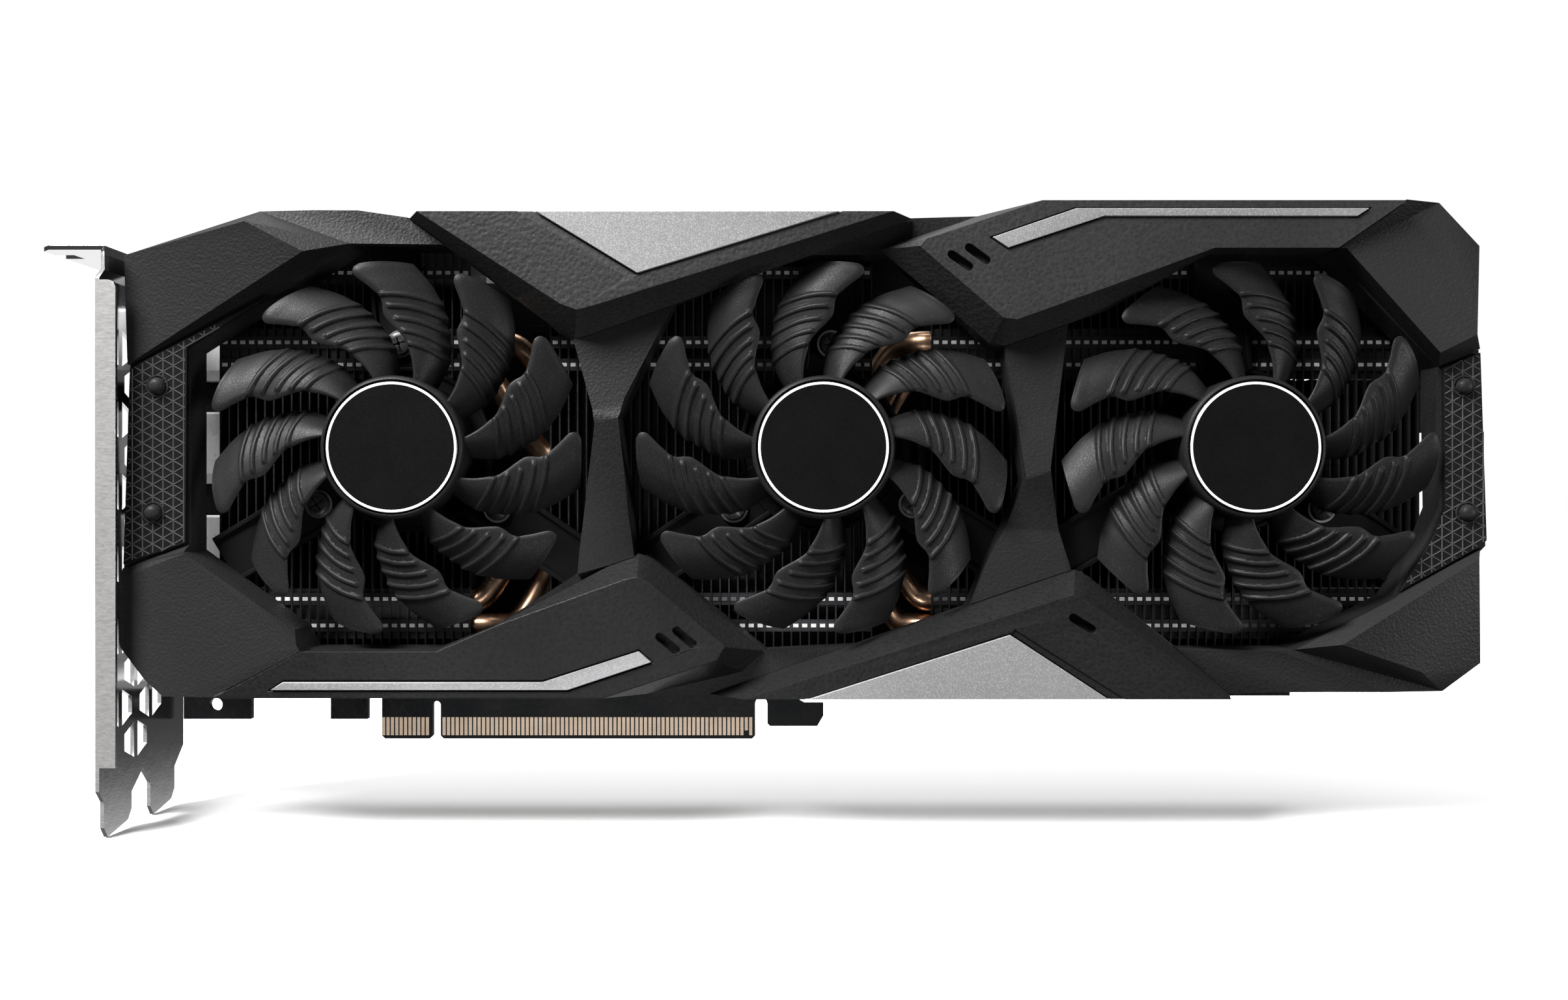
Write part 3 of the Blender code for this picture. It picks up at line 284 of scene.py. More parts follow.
def solder_mask():
    """Black board lacquer over faint raised copper tracks and flooded areas."""
    look = Look("board_black", 0.36, Specular_IOR_Level=0.06)
    pours = look.cells(95, "F1")
    tracks = look.ranged(look.cells(420, "DISTANCE_TO_EDGE"), 0.02, 0.06)
    weave = look.noise(2400, 1.0)
    base = look.mixed(look.ranged(pours, 0.25, 0.6), (0.009, 0.010, 0.011), (0.016, 0.016, 0.017))
    look.colour(look.mixed(look.ranged(tracks, 0.0, 1.0, 0.35, 0.0), base, (0.028, 0.029, 0.031)))
    look.rough(look.ranged(weave, 0.3, 0.7, 0.28, 0.4))
    look.bump((tracks, 0.02), (weave, 0.008))
    return look.material


def gold_plate():
    look = Look("finger_gold", 0.36, 0.1)
    rub = look.noise(1.0, 3.0, 0.6, look.stretched((300, 300, 2500)))
    stain = look.noise(240, 3.0)
    base = look.mixed(look.ranged(stain, 0.3, 0.7), (0.86, 0.67, 0.5), (0.74, 0.56, 0.41))
    look.colour(look.mixed(look.ranged(rub, 0.5, 0.75, 0.0, 0.6), base, (0.93, 0.78, 0.6)))
    look.rough(look.ranged(rub, 0.3, 0.7, 0.3, 0.45))
    look.bump((rub, 0.008))
    return look.material


def powder_coat(name, colour, rough):
    look = Look(name, rough, 0.3)
    skin = look.cells(1500)
    clouds = look.noise(50, 3.0)
    dark, light = shades(colour, 0.8, 1.25)
    base = look.mixed(look.ranged(clouds, 0.3, 0.7), dark, light)
    look.colour(look.worn(base, (0.3, 0.3, 0.31), 0.45))
    look.rough(look.ranged(skin, 0.1, 0.6, rough - 0.06, rough + 0.08))
    look.bump((skin, 0.03))
    return look.material


def printed_film(name, colour, rough):
    look = Look(name, rough, Specular_IOR_Level=0.25)
    dust = look.noise(5200, 1.0)
    clouds = look.noise(110, 3.0)
    dark, light = shades(colour, 0.8, 1.2)
    look.colour(look.mixed(look.ranged(clouds, 0.3, 0.7), dark, light))
    look.rough(look.ranged(dust, 0.3, 0.7, rough - 0.05, rough + 0.06))
    look.bump((dust, 0.006))
    return look.material


LOOKS = {
    "cover": grained_plastic("cover_plastic", (0.0185, 0.0185, 0.019), 0.48, 1250, 0.11, shine=0.2),
    # A darker copy of the cover plastic for the lower covers: painted shade for faces that tilt down away from
    # the light.
    "cover_painted_shade": grained_plastic(
        "lower_cover_plastic_painted_shade", (0.0085, 0.0085, 0.0088), 0.48, 1250, 0.11, shine=0.12,
    ),
    "frame": grained_plastic("frame_plastic", (0.009, 0.009, 0.0093), 0.46, 1900, 0.09, shine=0.085),
    "panel": grained_plastic("panel_plastic", (0.0045, 0.0045, 0.0046), 0.42, 2400, 0.03, shine=0.08),
    # The ridges take a tone six times lighter than the panel plastic: a painted highlight for the light they
    # catch.
    "lattice": grained_plastic("lattice_plastic_painted_highlight", (0.027, 0.027, 0.0275), 0.36, 2400, 0.02, shine=0.3),
    "fan": speckled_plastic("fan_blade_plastic", (0.0095, 0.0095, 0.0098), 0.42),
    "carrier": speckled_plastic("carrier_plastic", (0.003, 0.003, 0.0031), 0.5),
    "label": printed_film("label_black", (0.003, 0.003, 0.0031), 0.26),
    "ring": printed_film("label_white", (0.78, 0.78, 0.78), 0.4),
    "silver": silver_paint(),
    "steel": plated_steel(),
    "shell": brushed_metal("port_steel", (0.8, 0.8, 0.8), 0.28, (2500, 300, 300), metal=0.35),
    "bright": brushed_metal("screw_metal", (0.2, 0.2, 0.205), 0.3, (1500, 500, 500)),
    "tie": tie_metal(),
    "copper": copper_metal(),
    "fin": fin_metal(),
    "board": solder_mask(),
    "gold": gold_plate(),
    "dark": powder_coat("dark_metal", (0.018, 0.018, 0.019), 0.4),
    "nylon": speckled_plastic("socket_nylon", (0.012, 0.012, 0.012), 0.45),
    "screw": powder_coat("screw_black", (0.012, 0.012, 0.013), 0.28),
}


# ---------------------------------------------------------------- mesh helpers


def circle(centre, radius, y, sides):
    """Points round a centre, given as (x, z), in the plane at y."""
    turns = [2 * math.pi * i / sides for i in range(sides)]
    return [(centre[0] + radius * math.cos(t), y, centre[1] + radius * math.sin(t)) for t in turns]


class Shape:
    """Points in millimetres and faces, gathered from several closed solids."""

    def __init__(self):
        self.points = []
        self.faces = []

    def add(self, points, faces):
        start = len(self.points)
        self.points += [tuple(point) for point in points]
        self.faces += [[index + start for index in face] for face in faces]

    def box(self, low, high):
        corners = [(x, y, z) for x in (low[0], high[0]) for y in (low[1], high[1]) for z in (low[2], high[2])]
        sides = [[0, 1, 3, 2], [4, 6, 7, 5], [0, 4, 5, 1], [2, 3, 7, 6], [0, 2, 6, 4], [1, 5, 7, 3]]
        self.add(corners, sides)

    def loft(self, rings, closed=False):
        """Rings of matching points, capped at both ends unless the loft closes on itself."""
        count = len(rings[0])
        faces = [] if closed else [list(range(count)), [len(rings) * count - 1 - i for i in range(count)]]
        for level in range(len(rings) if closed else len(rings) - 1):
            start, after = level * count, (level + 1) % len(rings) * count
            for i in range(count):
                j = (i + 1) % count
                faces.append([start + i, after + i, after + j, start + j])
        self.add([point for ring in rings for point in ring], faces)

    def prism(self, outline, near, far, axis):
        """An outline extruded along an axis. Its points are the other two axes, in X, Y, Z order."""
        def place(point, value):
            full = list(point)
            full.insert(axis, value)
            return full
        self.loft([[place(point, near) for point in outline], [place(point, far) for point in outline]])

    def turned(self, profile, centre, sides):
        """A solid of revolution about Y from (radius, y) points that start and end on the axis."""
        self.loft([circle(centre, radius, y, sides) for radius, y in profile[1:-1]])

    def ring(self, profile, centre, sides):
        """A ring about Y from a closed loop of (radius, y) points."""
        rings = []
        for i in range(sides):
            t = 2 * math.pi * i / sides
            rings.append([(centre[0] + r * math.cos(t), y, centre[1] + r * math.sin(t)) for r, y in profile])
        self.loft(rings, closed=True)

    def tube(self, path, radii, sides):
        """A round tube along a path, with its section kept square to it."""
        path = [Vector(point) for point in path]
        rings = []
        for i, (point, radius) in enumerate(zip(path, radii)):
            ahead = (path[min(i + 1, len(path) - 1)] - path[max(i - 1, 0)]).normalized()
            side = ahead.cross(Vector((0, 1, 0))).normalized()
            up = side.cross(ahead)
            turns = [2 * math.pi * s / sides for s in range(sides)]
            rings.append([point + radius * (math.cos(t) * side + math.sin(t) * up) for t in turns])
        self.loft(rings)


def make(name, shape, look, body="card", stands_for=(), smooth=35, bevel=0.0, segments=2):
    """A visible piece from a shape, which rides on a body and may stand for CAD nodes."""
    mesh = bpy.data.meshes.new(name)
    mesh.from_pydata([[value * MM for value in point] for point in shape.points], [], shape.faces)
    bm = bmesh.new()
    bm.from_mesh(mesh)
    bmesh.ops.recalc_face_normals(bm, faces=bm.faces)
    bm.to_mesh(mesh)
    bm.free()
    mesh.shade_smooth()
    mesh.set_sharp_from_angle(angle=math.radians(smooth))
    obj = bpy.data.objects.new(name, mesh)
    bpy.context.scene.collection.objects.link(obj)
    mesh.materials.append(LOOKS[look])
    if bevel:
        add_bevel(obj, bevel, segments)
    if stands_for:
        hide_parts(*stands_for)
    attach(obj, body)
    return obj


def add_bevel(obj, width, segments=2):
    bevel = obj.modifiers.new("edges", "BEVEL")
    bevel.width = width * MM
    bevel.segments = segments
    bevel.limit_method = "ANGLE"
    bevel.angle_limit = math.radians(25)
    bevel.miter_outer = "MITER_ARC"
    normals = obj.modifiers.new("flat_faces", "WEIGHTED_NORMAL")
    normals.weight = 100


WELD_GAP = 0.01 * MM


def dress(node, look, bevel=0.0, segments=2):
    """Gives a CAD node its finish, and rounds its edges."""
    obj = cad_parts[node]
    obj.data.materials.clear()
    obj.data.materials.append(LOOKS[look])
    if bevel:
        weld = obj.modifiers.new("joined", "WELD")
        weld.merge_threshold = WELD_GAP
        add_bevel(obj, bevel, segments)


def centre_of(node):
    low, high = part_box(node)
    return [500 * (low[i] + high[i]) for i in range(3)]


# ---------------------------------------------------------------- fans

# The middle fan is the mirror image of the other two.
FANS = {"left": 1.0, "middle": -1.0, "right": 1.0}
BLADES = 11
BLADE_TURN = 103.0
ROOT_RADIUS = 13.6
TIP_START = 36.0
TIP_RADIUS = 38.2
HUB_FRONT = -36.2
HUB_RADIUS = 14.6
HUB_ROUND = 1.1
HUB_FLOOR = HUB_FRONT + 0.9
LABEL_FRONT, LABEL_BACK = -36.1, -35.62
# The edges of a blade, as (radius, angle in degrees) from the hub to the tip.
TRAILING = [
    (13.6, -46), (15.4, -45.5), (17.2, -45), (19.3, -44.2), (21.1, -42.5), (23.6, -39.5), (26.1, -36),
    (28.7, -33), (30.8, -29.8), (33.3, -26), (35, -23), (36.6, -20), (38.2, -17.3),
]
LEADING = [
    (13.6, -30), (15, -28.7), (16.1, -27.5), (18.1, -25), (20, -22.3), (21.8, -20), (23.4, -16.2),
    (25, -12.3), (26.7, -9.3), (28.1, -8.6), (29.9, -8.5), (31.2, -7.5), (32.1, -6), (33.7, -3.5),
    (35.3, -1), (36.4, 0), (37.7, -0.5), (38.2, -2),
]
# Each rib's radius at the trailing edge and at its end, and the angle where it ends.
RIBS = [
    (30.9, 31.3, -7.5), (28.3, 28.9, -10.5), (25.7, 26.4, -14.0), (23.1, 24.0, -17.5), (20.6, 21.5, -20.5),
]
RIB_HALF = 0.5
RIB_HEIGHT = 0.5
RIB_ENDING = 1.3
SCALLOP_HALF = 1.3
SCALLOP_DEPTH = 0.9
BLADE_BACK = -29.9
BLADE_RISE = 4.7
BLADE_HALF = 0.56


def curve_through(table, value):
    """A smooth reading of a table of (place, value) pairs."""
    places = [row[0] for row in table]
    index = min(max(int(np.searchsorted(places, value)) - 1, 0), len(table) - 2)
    def slope(i):
        low, high = max(i - 1, 0), min(i + 1, len(table) - 1)
        return (table[high][1] - table[low][1]) / (table[high][0] - table[low][0])
    (x0, y0), (x1, y1) = table[index], table[index + 1]
    t = (value - x0) / (x1 - x0)
    h = x1 - x0
    return (
        y0 * (1 + 2 * t) * (1 - t) ** 2 + slope(index) * h * t * (1 - t) ** 2
        + y1 * t * t * (3 - 2 * t) + slope(index + 1) * h * t * t * (t - 1)
    )


def rib_height(radius, angle, trailing):
    """Beads run from the trailing edge towards the leading one, each ending at its own angle."""
    height = 0.0
    for start, end, stop in RIBS:
        share = min(1.0, max(0.0, (angle - trailing) / (stop - trailing)))
        middle = start + (end - start) * share + 0.25 * math.sin(math.pi * share)
        offset = (radius - middle) / (RIB_HALF if radius > middle else 1.3 * RIB_HALF)
        if abs(offset) >= 1:
            continue
        ending = min(1.0, max(0.0, (stop - angle) / RIB_ENDING))
        height = max(height, math.sqrt(1 - offset * offset) * math.sqrt(ending))
    return RIB_HEIGHT * height


def blade_rows():
    """Radii along a blade, close together where the ribs need them."""
    return [float(r) for r in np.concatenate([
        np.linspace(ROOT_RADIUS, 20.0, 12), np.linspace(20.15, 32.1, 88), np.linspace(32.5, 37.0, 10),
        np.linspace(37.2, TIP_RADIUS, 9),
    ])]


def blade_columns():
    """Shares of the way from the trailing edge to the leading one, closest where ribs end."""
    near = [0.0, 0.012, 0.035, 0.08, 0.15, 0.25, 0.35]
    return near + [0.35 + 0.026 * i for i in range(1, 20)] + [0.88, 0.92, 0.955, 0.98, 0.993, 1.0]


def add_blade(shape, centre, turn, hand):
    columns = blade_columns()
    rings = []
    for radius in blade_rows():
        trailing = curve_through(TRAILING, radius)
        leading = curve_through(LEADING, radius)
        scallop = max(max(0.0, 1 - abs(radius - rib[0]) / SCALLOP_HALF) for rib in RIBS)
        trailing -= SCALLOP_DEPTH * scallop
        tip = max(0.0, (radius - TIP_START) / (TIP_RADIUS - TIP_START))
        front, back = [], []
        for across in columns:
            sweep = trailing + (leading - trailing) * across
            angle = math.radians(turn + sweep)
            x = centre[0] + hand * radius * math.cos(angle)
            z = centre[1] + radius * math.sin(angle)
            depth = BLADE_BACK - BLADE_RISE * across - math.sin(math.pi * across)
            depth += 0.5 * tip * tip * (across - 0.2)
            edge = min(1.0, math.sqrt(min(1.0, 0.06 + 9.0 * min(across, 1 - across))))
            half = BLADE_HALF * edge * (1 - 0.6 * tip ** 3)
            front.append((x, depth - half - rib_height(radius, sweep, trailing), z))
            back.append((x, depth + half, z))
        rings.append(front + back[::-1])
    shape.loft(rings)


def soft_hub(centre):
    """The hub cup, with a rounded front rim."""
    shape = Shape()
    profile = [(0, HUB_FLOOR), (6.0, HUB_FLOOR), (13.7, HUB_FLOOR)]
    profile += [(13.7, HUB_FRONT + 0.06), (13.78, HUB_FRONT)]
    for step in range(1, 9):
        t = math.radians(90 * step / 8)
        radius = HUB_RADIUS - HUB_ROUND + HUB_ROUND * math.sin(t)
        profile.append((radius, HUB_FRONT + HUB_ROUND - HUB_ROUND * math.cos(t)))
    profile += [(HUB_RADIUS, -25.0), (HUB_RADIUS - 0.25, -24.6), (13.55, -24.6), (13.3, -24.9)]
    profile += [(13.3, HUB_FRONT + 2.4), (6.0, HUB_FRONT + 2.4), (0, HUB_FRONT + 2.4)]
    shape.turned(profile, centre, 144)
    return shape


def make_fans():
    for side, hand in FANS.items():
        body = "fan_" + side
        middle = centre_of("fan_shaft_" + side)
        centre = (middle[0], middle[2])
        rotor = soft_hub(centre)
        for index in range(BLADES):
            add_blade(rotor, centre, BLADE_TURN + 360.0 * index / BLADES, hand)
        make(f"rotor_{side}", rotor, "fan", body, [f"fan_rotor_{side}"], smooth=38)

        label = Shape()
        face = [(0, LABEL_FRONT), (6, LABEL_FRONT), (13.25, LABEL_FRONT), (13.38, -36.0)]
        label.turned(face + [(13.4, LABEL_BACK), (6, LABEL_BACK), (0, LABEL_BACK)], centre, 144)
        make(f"label_{side}", label, "label", body, [f"hub_label_{side}"])
        ring = Shape()
        print_front = LABEL_FRONT - 0.06
        outline = [(12.72, LABEL_FRONT), (12.76, print_front), (13.18, print_front), (13.22, LABEL_FRONT)]
        ring.ring(outline, centre, 144)
        make(f"label_ring_{side}", ring, "ring", body)
        dress(f"fan_shaft_{side}", "shell", 0.15)
        dress(f"bearing_sleeve_{side}", "copper", 0.15)
        make_stator(side, centre)
        make_carrier(side, centre, hand)


POLE_ANGLES = [45, 135, 225, 315]
# One pole's outline, as (radius, angle in degrees): a narrow neck and a wide shoe.
POLE_OUTLINE = [
    (5.8, 14), (9.0, 9), (9.4, 34), (12.0, 34), (12.0, -34), (9.4, -34), (9.0, -9), (5.8, -14),
]
SHEET_THICK = 0.5
WIRE_RADIUS = 0.24


def make_stator(side, centre):
    """Four poles on a stack of thin laminations."""
    stator = Shape()
    for level in range(9):
        y = -30.9 + 0.62 * level
        back = y + SHEET_THICK
        stator.ring([(3.8, y), (6.4, y), (6.4, back), (3.8, back)], centre, 48)
        for angle in POLE_ANGLES:
            outline = []
            for radius, spread in POLE_OUTLINE:
                t = math.radians(angle) + math.radians(spread)
                outline.append((centre[0] + radius * math.cos(t), centre[1] + radius * math.sin(t)))
            stator.prism(outline, y, back, 1)
    make(f"stator_core_{side}", stator, "dark", "card", [f"motor_stator_{side}"])
    make_winding(side, centre)


def make_winding(side, centre):
    """Five turns of copper wire round the neck of each pole."""
    winding = Shape()
    for angle in POLE_ANGLES:
        turn = math.radians(angle)
        away_x, away_z = math.cos(turn), math.sin(turn)
        for layer in range(5):
            reach = 6.9 + 0.5 * layer
            rings = []
            for step in range(20):
                t = 2 * math.pi * step / 20
                across, deep = 2.6 * math.cos(t), -28.2 + 3.2 * math.sin(t)
                x = centre[0] + reach * away_x - across * away_z
                z = centre[1] + reach * away_z + across * away_x
                nx, ny, nz = -away_z * math.cos(t), math.sin(t), away_x * math.cos(t)
                ring = []
                for corner in range(6):
                    a = math.pi * corner / 3
                    out, along = WIRE_RADIUS * math.cos(a), WIRE_RADIUS * math.sin(a)
                    wire_x, wire_z = x + out * nx + along * away_x, z + out * nz + along * away_z
                    ring.append((wire_x, deep + out * ny, wire_z))
                rings.append(ring)
            winding.loft(rings, closed=True)
    make(f"stator_winding_{side}", winding, "copper")


SCREW_ANGLES = [95, 211, 326]


def make_carrier(side, centre, hand):
    """The plate and arms behind a fan, with a raised lip and ribs, and its three screws."""
    def at(radius, turn, across=0.0):
        t = math.radians(turn)
        x = radius * math.cos(t) - across * math.sin(t)
        return (centre[0] + hand * x, centre[1] + radius * math.sin(t) + across * math.cos(t))

    def strip(turn, start, end, low, high):
        return [at(start, turn, low), at(end, turn, low), at(end, turn, high), at(start, turn, high)]

    shape = Shape()
    disc = [at(17.5, 360 * i / 72) for i in range(72)]
    shape.prism(disc, -21.9, -20.4, 1)
    for turn in SCREW_ANGLES:
        shape.prism(strip(turn, 13, 46, -5.4, 5.4), -22.0, -20.3, 1)
        for across in (-4.9, 4.9):
            shape.prism(strip(turn, 16.5, 45.6, across - 0.5, across + 0.5), -22.9, -21.8, 1)
    shape.ring([(16.6, -22.6), (17.5, -22.6), (17.5, -21.6), (16.6, -21.6)], centre, 96)
    make(f"carrier_{side}", shape, "carrier", "card", [f"fan_carrier_{side}"], bevel=0.15)
    for number, turn in enumerate(SCREW_ANGLES, 1):
        make_screw(f"screw_{side}_{number}", at(22.5, turn), 17.0 * number, f"fan_screw_{side}_{number}")


def make_screw(name, place, turn, node):
    """A pan-head screw with a cross recess, and the bright washer face it sits on."""
    head = Shape()
    sides = 48
    dome = [(2.4, -22.35), (2.4, -23.5), (2.25, -23.85), (1.95, -24.0), (1.35, -24.05)]
    rings = [circle(place, radius, y, sides) for radius, y in dome]
    for scale, y in ((1.0, -24.05), (0.8, -23.2)):
        ring = []
        for i in range(sides):
            t = 2 * math.pi * i / sides
            lobes = 0.42 + 0.78 * max(0.0, math.cos(2 * (t - math.radians(turn)) * 2) - 0.35) / 0.65
            r = lobes * scale
            ring.append((place[0] + r * math.cos(t), y, place[1] + r * math.sin(t)))
        rings.append(ring)
    head.loft(rings)
    make(name, head, "screw", "card", [node], smooth=30)
    washer = Shape()
    washer.ring([(2.45, -22.3), (2.5, -22.75), (2.95, -22.75), (3.05, -22.3)], place, 48)
    make(name + "_seat", washer, "bright")


# ---------------------------------------------------------------- cooler

UPPER_PIPES = [88.6, 83.2]
LOWER_PIPES = [27.4, 32.8]
STACKS = {"left": -4.6, "middle": -12.6, "right": -4.6}
FIN_FRONT, FIN_BOTTOM, FIN_TOP = -20.0, 17.0, 111.0
FIN_PITCH = 1.9
FIN_THICK = 0.3
SOCKET_ROOM = (108.7, 142.3)
PIPE_RADIUS = 2.5
TIE_ROWS = [19.8, 27.6, 33.3, 83.5, 88.3, 103.2]


def fin_outline(back, channels, room):
    """One fin seen along X, as (y, z), with its rear notches for the pipes and the sockets."""
    points = [(FIN_FRONT, FIN_TOP)]
    points += [(-13.0, FIN_TOP), (-13.0, 96.0), (back, 96.0)] if room else [(back, FIN_TOP)]
    if channels:
        for rows in (UPPER_PIPES, LOWER_PIPES[::-1]):
            high, low = max(rows) + 2.8, min(rows) - 2.8
            points += [(back, high), (-19.2, high), (-19.2, low), (back, low)]
    return points + [(back, FIN_BOTTOM), (FIN_FRONT, FIN_BOTTOM)]


def make_fin_stacks():
    for side, back in STACKS.items():
        low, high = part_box("fin_stack_" + side)
        left, right = 1000 * low[0], 1000 * high[0]
        count = round((right - left - FIN_THICK) / FIN_PITCH)
        pitch = (right - left - FIN_THICK) / count
        fins, ties = Shape(), Shape()
        for index in range(count + 1):
            x = left + pitch * index
            room = side == "right" and SOCKET_ROOM[0] < x + FIN_THICK and x < SOCKET_ROOM[1]
            fins.prism(fin_outline(back, side != "middle", room), x, x + FIN_THICK, 0)
            if index == count:
                continue
            for z in TIE_ROWS:
                fins.box((x + 0.2, -19.85, z - 1.3), (x + pitch + 0.1, -19.6, z + 1.3))
                ties.box((x + 0.55, -19.95, z - 0.38), (x + pitch - 0.25, -19.8, z + 0.38))
            # Dark strips between the fins, just in front of the pipes: painted shade that hides the copper
            # behind them.
            for z in UPPER_PIPES + LOWER_PIPES if side != "middle" else []:
                fins.box((x + 0.2, -19.2, z - 2.7), (x + pitch + 0.1, -18.98, z + 2.7))
            for z in (FIN_BOTTOM, FIN_TOP - 0.25):
                fins.box((x + 0.2, FIN_FRONT + 0.2, z), (x + pitch + 0.1, -17.0, z + 0.25))
        # A dark sheet across the back of the middle stack: painted shade that hides the copper plate seen
        # through its fins.
        if side == "middle":
            fins.box((left, back - 0.3, FIN_BOTTOM), (right, back, FIN_TOP))
        make(f"fins_{side}", fins, "fin", "card", [f"fin_stack_{side}"])
        make(f"fin_ties_{side}", ties, "tie")


def make_baffles():
    """Thin black strips: over the gap between two stacks, and beside the right one."""
    shape = Shape()
    shape.box((59.5, -16.4, 97.5), (77.5, -16.0, 111.4))
    shape.box((59.5, -16.4, 111.0), (77.5, -3.4, 111.4))
    shape.box((178.4, -19.8, 68.9), (185.4, -19.4, 92.0))
    shape.box((178.4, -19.8, 68.9), (178.8, -12.0, 92.0))
    make("stack_baffles", shape, "nylon", bevel=0.1)


def eased(value):
    value = min(1.0, max(0.0, value))
    return value * value * (3 - 2 * value)


def pipe_path(outer, inner, left_bend, right_bend):
    """The centre line of a pipe: out along the fins, in and back over the chip, and out again."""
    points = []
    for x in np.arange(-77.5, 176.51, 0.9):
        out_left = 1 - eased((x - left_bend) / 15.0)
        out_right = eased((x - right_bend) / 15.0)
        height = inner + (outer - inner) * (out_left + out_right)
        deep = eased((x + 22.0) / 12.0) * (1 - eased((x - 62.5) / 11.0))
        points.append((x, -16.4 + 6.8 * deep, height))
    return points


def make_heat_pipes():
    middle = centre_of("gpu_package")[2]
    tapers = [0.35, 0.62, 0.86, 0.96]
    rows = [(UPPER_PIPES[0], middle + 10.8, -17.5, 54.0), (UPPER_PIPES[1], middle + 3.6, -24.0, 58.5)]
    rows += [(LOWER_PIPES[1], middle - 3.6, -24.0, 58.5), (LOWER_PIPES[0], middle - 10.8, -17.5, 54.0)]
    for number, row in enumerate(rows, 1):
        path = pipe_path(*row)
        radii = [PIPE_RADIUS] * len(path)
        for i, share in enumerate(tapers):
            radii[i] = radii[-1 - i] = PIPE_RADIUS * share
        shape = Shape()
        shape.tube(path, radii, 28)
        make(f"pipe_{number}", shape, "copper", "card", [f"heat_pipe_{number}"], smooth=60)
    dress("cold_plate", "copper", 0.3)
    dress("gpu_package", "nylon", 0.2)


# ---------------------------------------------------------------- shroud

PANELS = {
    "left": [(-92.3, 81.6), (-93.65, 41.2), (-80.8, 45.6), (-80.5, 85.8), (-63.5, 96.6), (-63.5, 96.9)],
    "right": [
        (178.3, 81.8), (178.5, 52.8), (175.9, 46.2), (169.4, 35.6), (185.8, 44.8), (187.3, 46.2),
        (186.0, 84.9),
    ],
}
PANEL_FRONT = -31.2
LATTICE_SIDE = 2.45
RIDGE_HALF = 0.16
RIDGE_HEIGHT = 0.16
RIDGE_INSET = 0.35
PINS = ["left_panel_pin_upper", "left_panel_pin_lower", "right_panel_pin_upper", "right_panel_pin_lower"]


def crossings(outline, point, along):
    """Where a line meets an outline, as sorted distances from the point."""
    found = []
    for a, b in zip(outline, outline[1:] + outline[:1]):
        edge = (b[0] - a[0], b[1] - a[1])
        cross = along[0] * edge[1] - along[1] * edge[0]
        if abs(cross) < 1e-9:
            continue
        gap = (a[0] - point[0], a[1] - point[1])
        t = (gap[0] * edge[1] - gap[1] * edge[0]) / cross
        u = (gap[0] * along[1] - gap[1] * along[0]) / cross
        if 0 <= u < 1:
            found.append(t)
    return sorted(found)


def add_ridge(shape, start, end):
    """A thin raised line with sloping sides, from start to end on the panel's face."""
    length = math.dist(start, end)
    if length < 0.6:
        return
    nx = -(end[1] - start[1]) / length * RIDGE_HALF
    nz = (end[0] - start[0]) / length * RIDGE_HALF
    base = PANEL_FRONT + 0.02
    rings = []
    for x, z in (start, end):
        rings.append([(x - nx, base, z - nz), (x - 0.3 * nx, base - RIDGE_HEIGHT, z - 0.3 * nz),
                      (x + 0.3 * nx, base - RIDGE_HEIGHT, z + 0.3 * nz), (x + nx, base, z + nz)])
    shape.loft(rings)


def make_panels():
    for side, outline in PANELS.items():
        dress(f"{side}_end_panel", "panel", 0.12)
        shape = Shape()
        middle = (sum(p[0] for p in outline) / len(outline), 65.0)
        for turn in (90, 30, -30):
            along = (math.cos(math.radians(turn)), math.sin(math.radians(turn)))
            step = LATTICE_SIDE * math.sqrt(3) / 2
            for line in range(-32, 33):
                point = (middle[0] - along[1] * step * line, middle[1] + along[0] * step * line)
                marks = crossings(outline, point, along)
                for t0, t1 in zip(marks[::2], marks[1::2]):
                    if t1 - t0 > 4 * RIDGE_INSET:
                        first, last = t0 + RIDGE_INSET, t1 - RIDGE_INSET
                        start = (point[0] + along[0] * first, point[1] + along[1] * first)
                        end = (point[0] + along[0] * last, point[1] + along[1] * last)
                        add_ridge(shape, start, end)
        # The ridges' lighter tone is a painted highlight.
        make(f"lattice_{side}", shape, "lattice")
    for name in PINS:
        x, _, z = centre_of(name)
        pin = Shape()
        dome = [(0, -33.05), (0.5, -33.03), (0.95, -32.9), (1.3, -32.65), (1.56, -32.3), (1.7, -31.9)]
        pin.turned(dome + [(1.75, -31.5), (1.0, -31.5), (0, -31.5)], (x, z), 48)
        pin.ring([(1.95, -31.2), (2.0, -31.55), (2.25, -31.55), (2.35, -31.2)], (x, z), 48)
        make(name + "_head", pin, "nylon", "card", [name], smooth=50)


def make_shroud():
    dress("fan_shroud", "frame", 0.28, 3)
    for name in ("upper_v", "upper_arm", "lower_arm", "lower_v"):
        # The lower covers take the darker copy of the cover plastic, which carries painted shade.
        dress(name + "_cover", "cover" if name.startswith("upper") else "cover_painted_shade", 0.4, 3)
        dress(name + "_trim", "silver", 0.14)


# ---------------------------------------------------------------- board and metalwork


BOARD_FRONT = -0.785
# The contact rows, as the first contact's place and how many there are, 1 mm apart.
SHORT_ROW, LONG_ROW = (-48.9, 11), (-35.1, 71)


def make_board():
    dress("circuit_board", "board", 0.06)
    fingers = Shape()
    for front in (True, False):
        low, high = (-0.835, -0.775) if front else (0.775, 0.835)
        for left, count in (SHORT_ROW, LONG_ROW):
            for index in range(count):
                x = left + index
                cut_short = (left, count) == LONG_ROW and index == count - 2
                bottom = 1.9 if cut_short else 0.8
                fingers.box((x - 0.35, low, bottom), (x + 0.35, high, 4.9))
    make("contact_fingers", fingers, "gold")
    make_components()


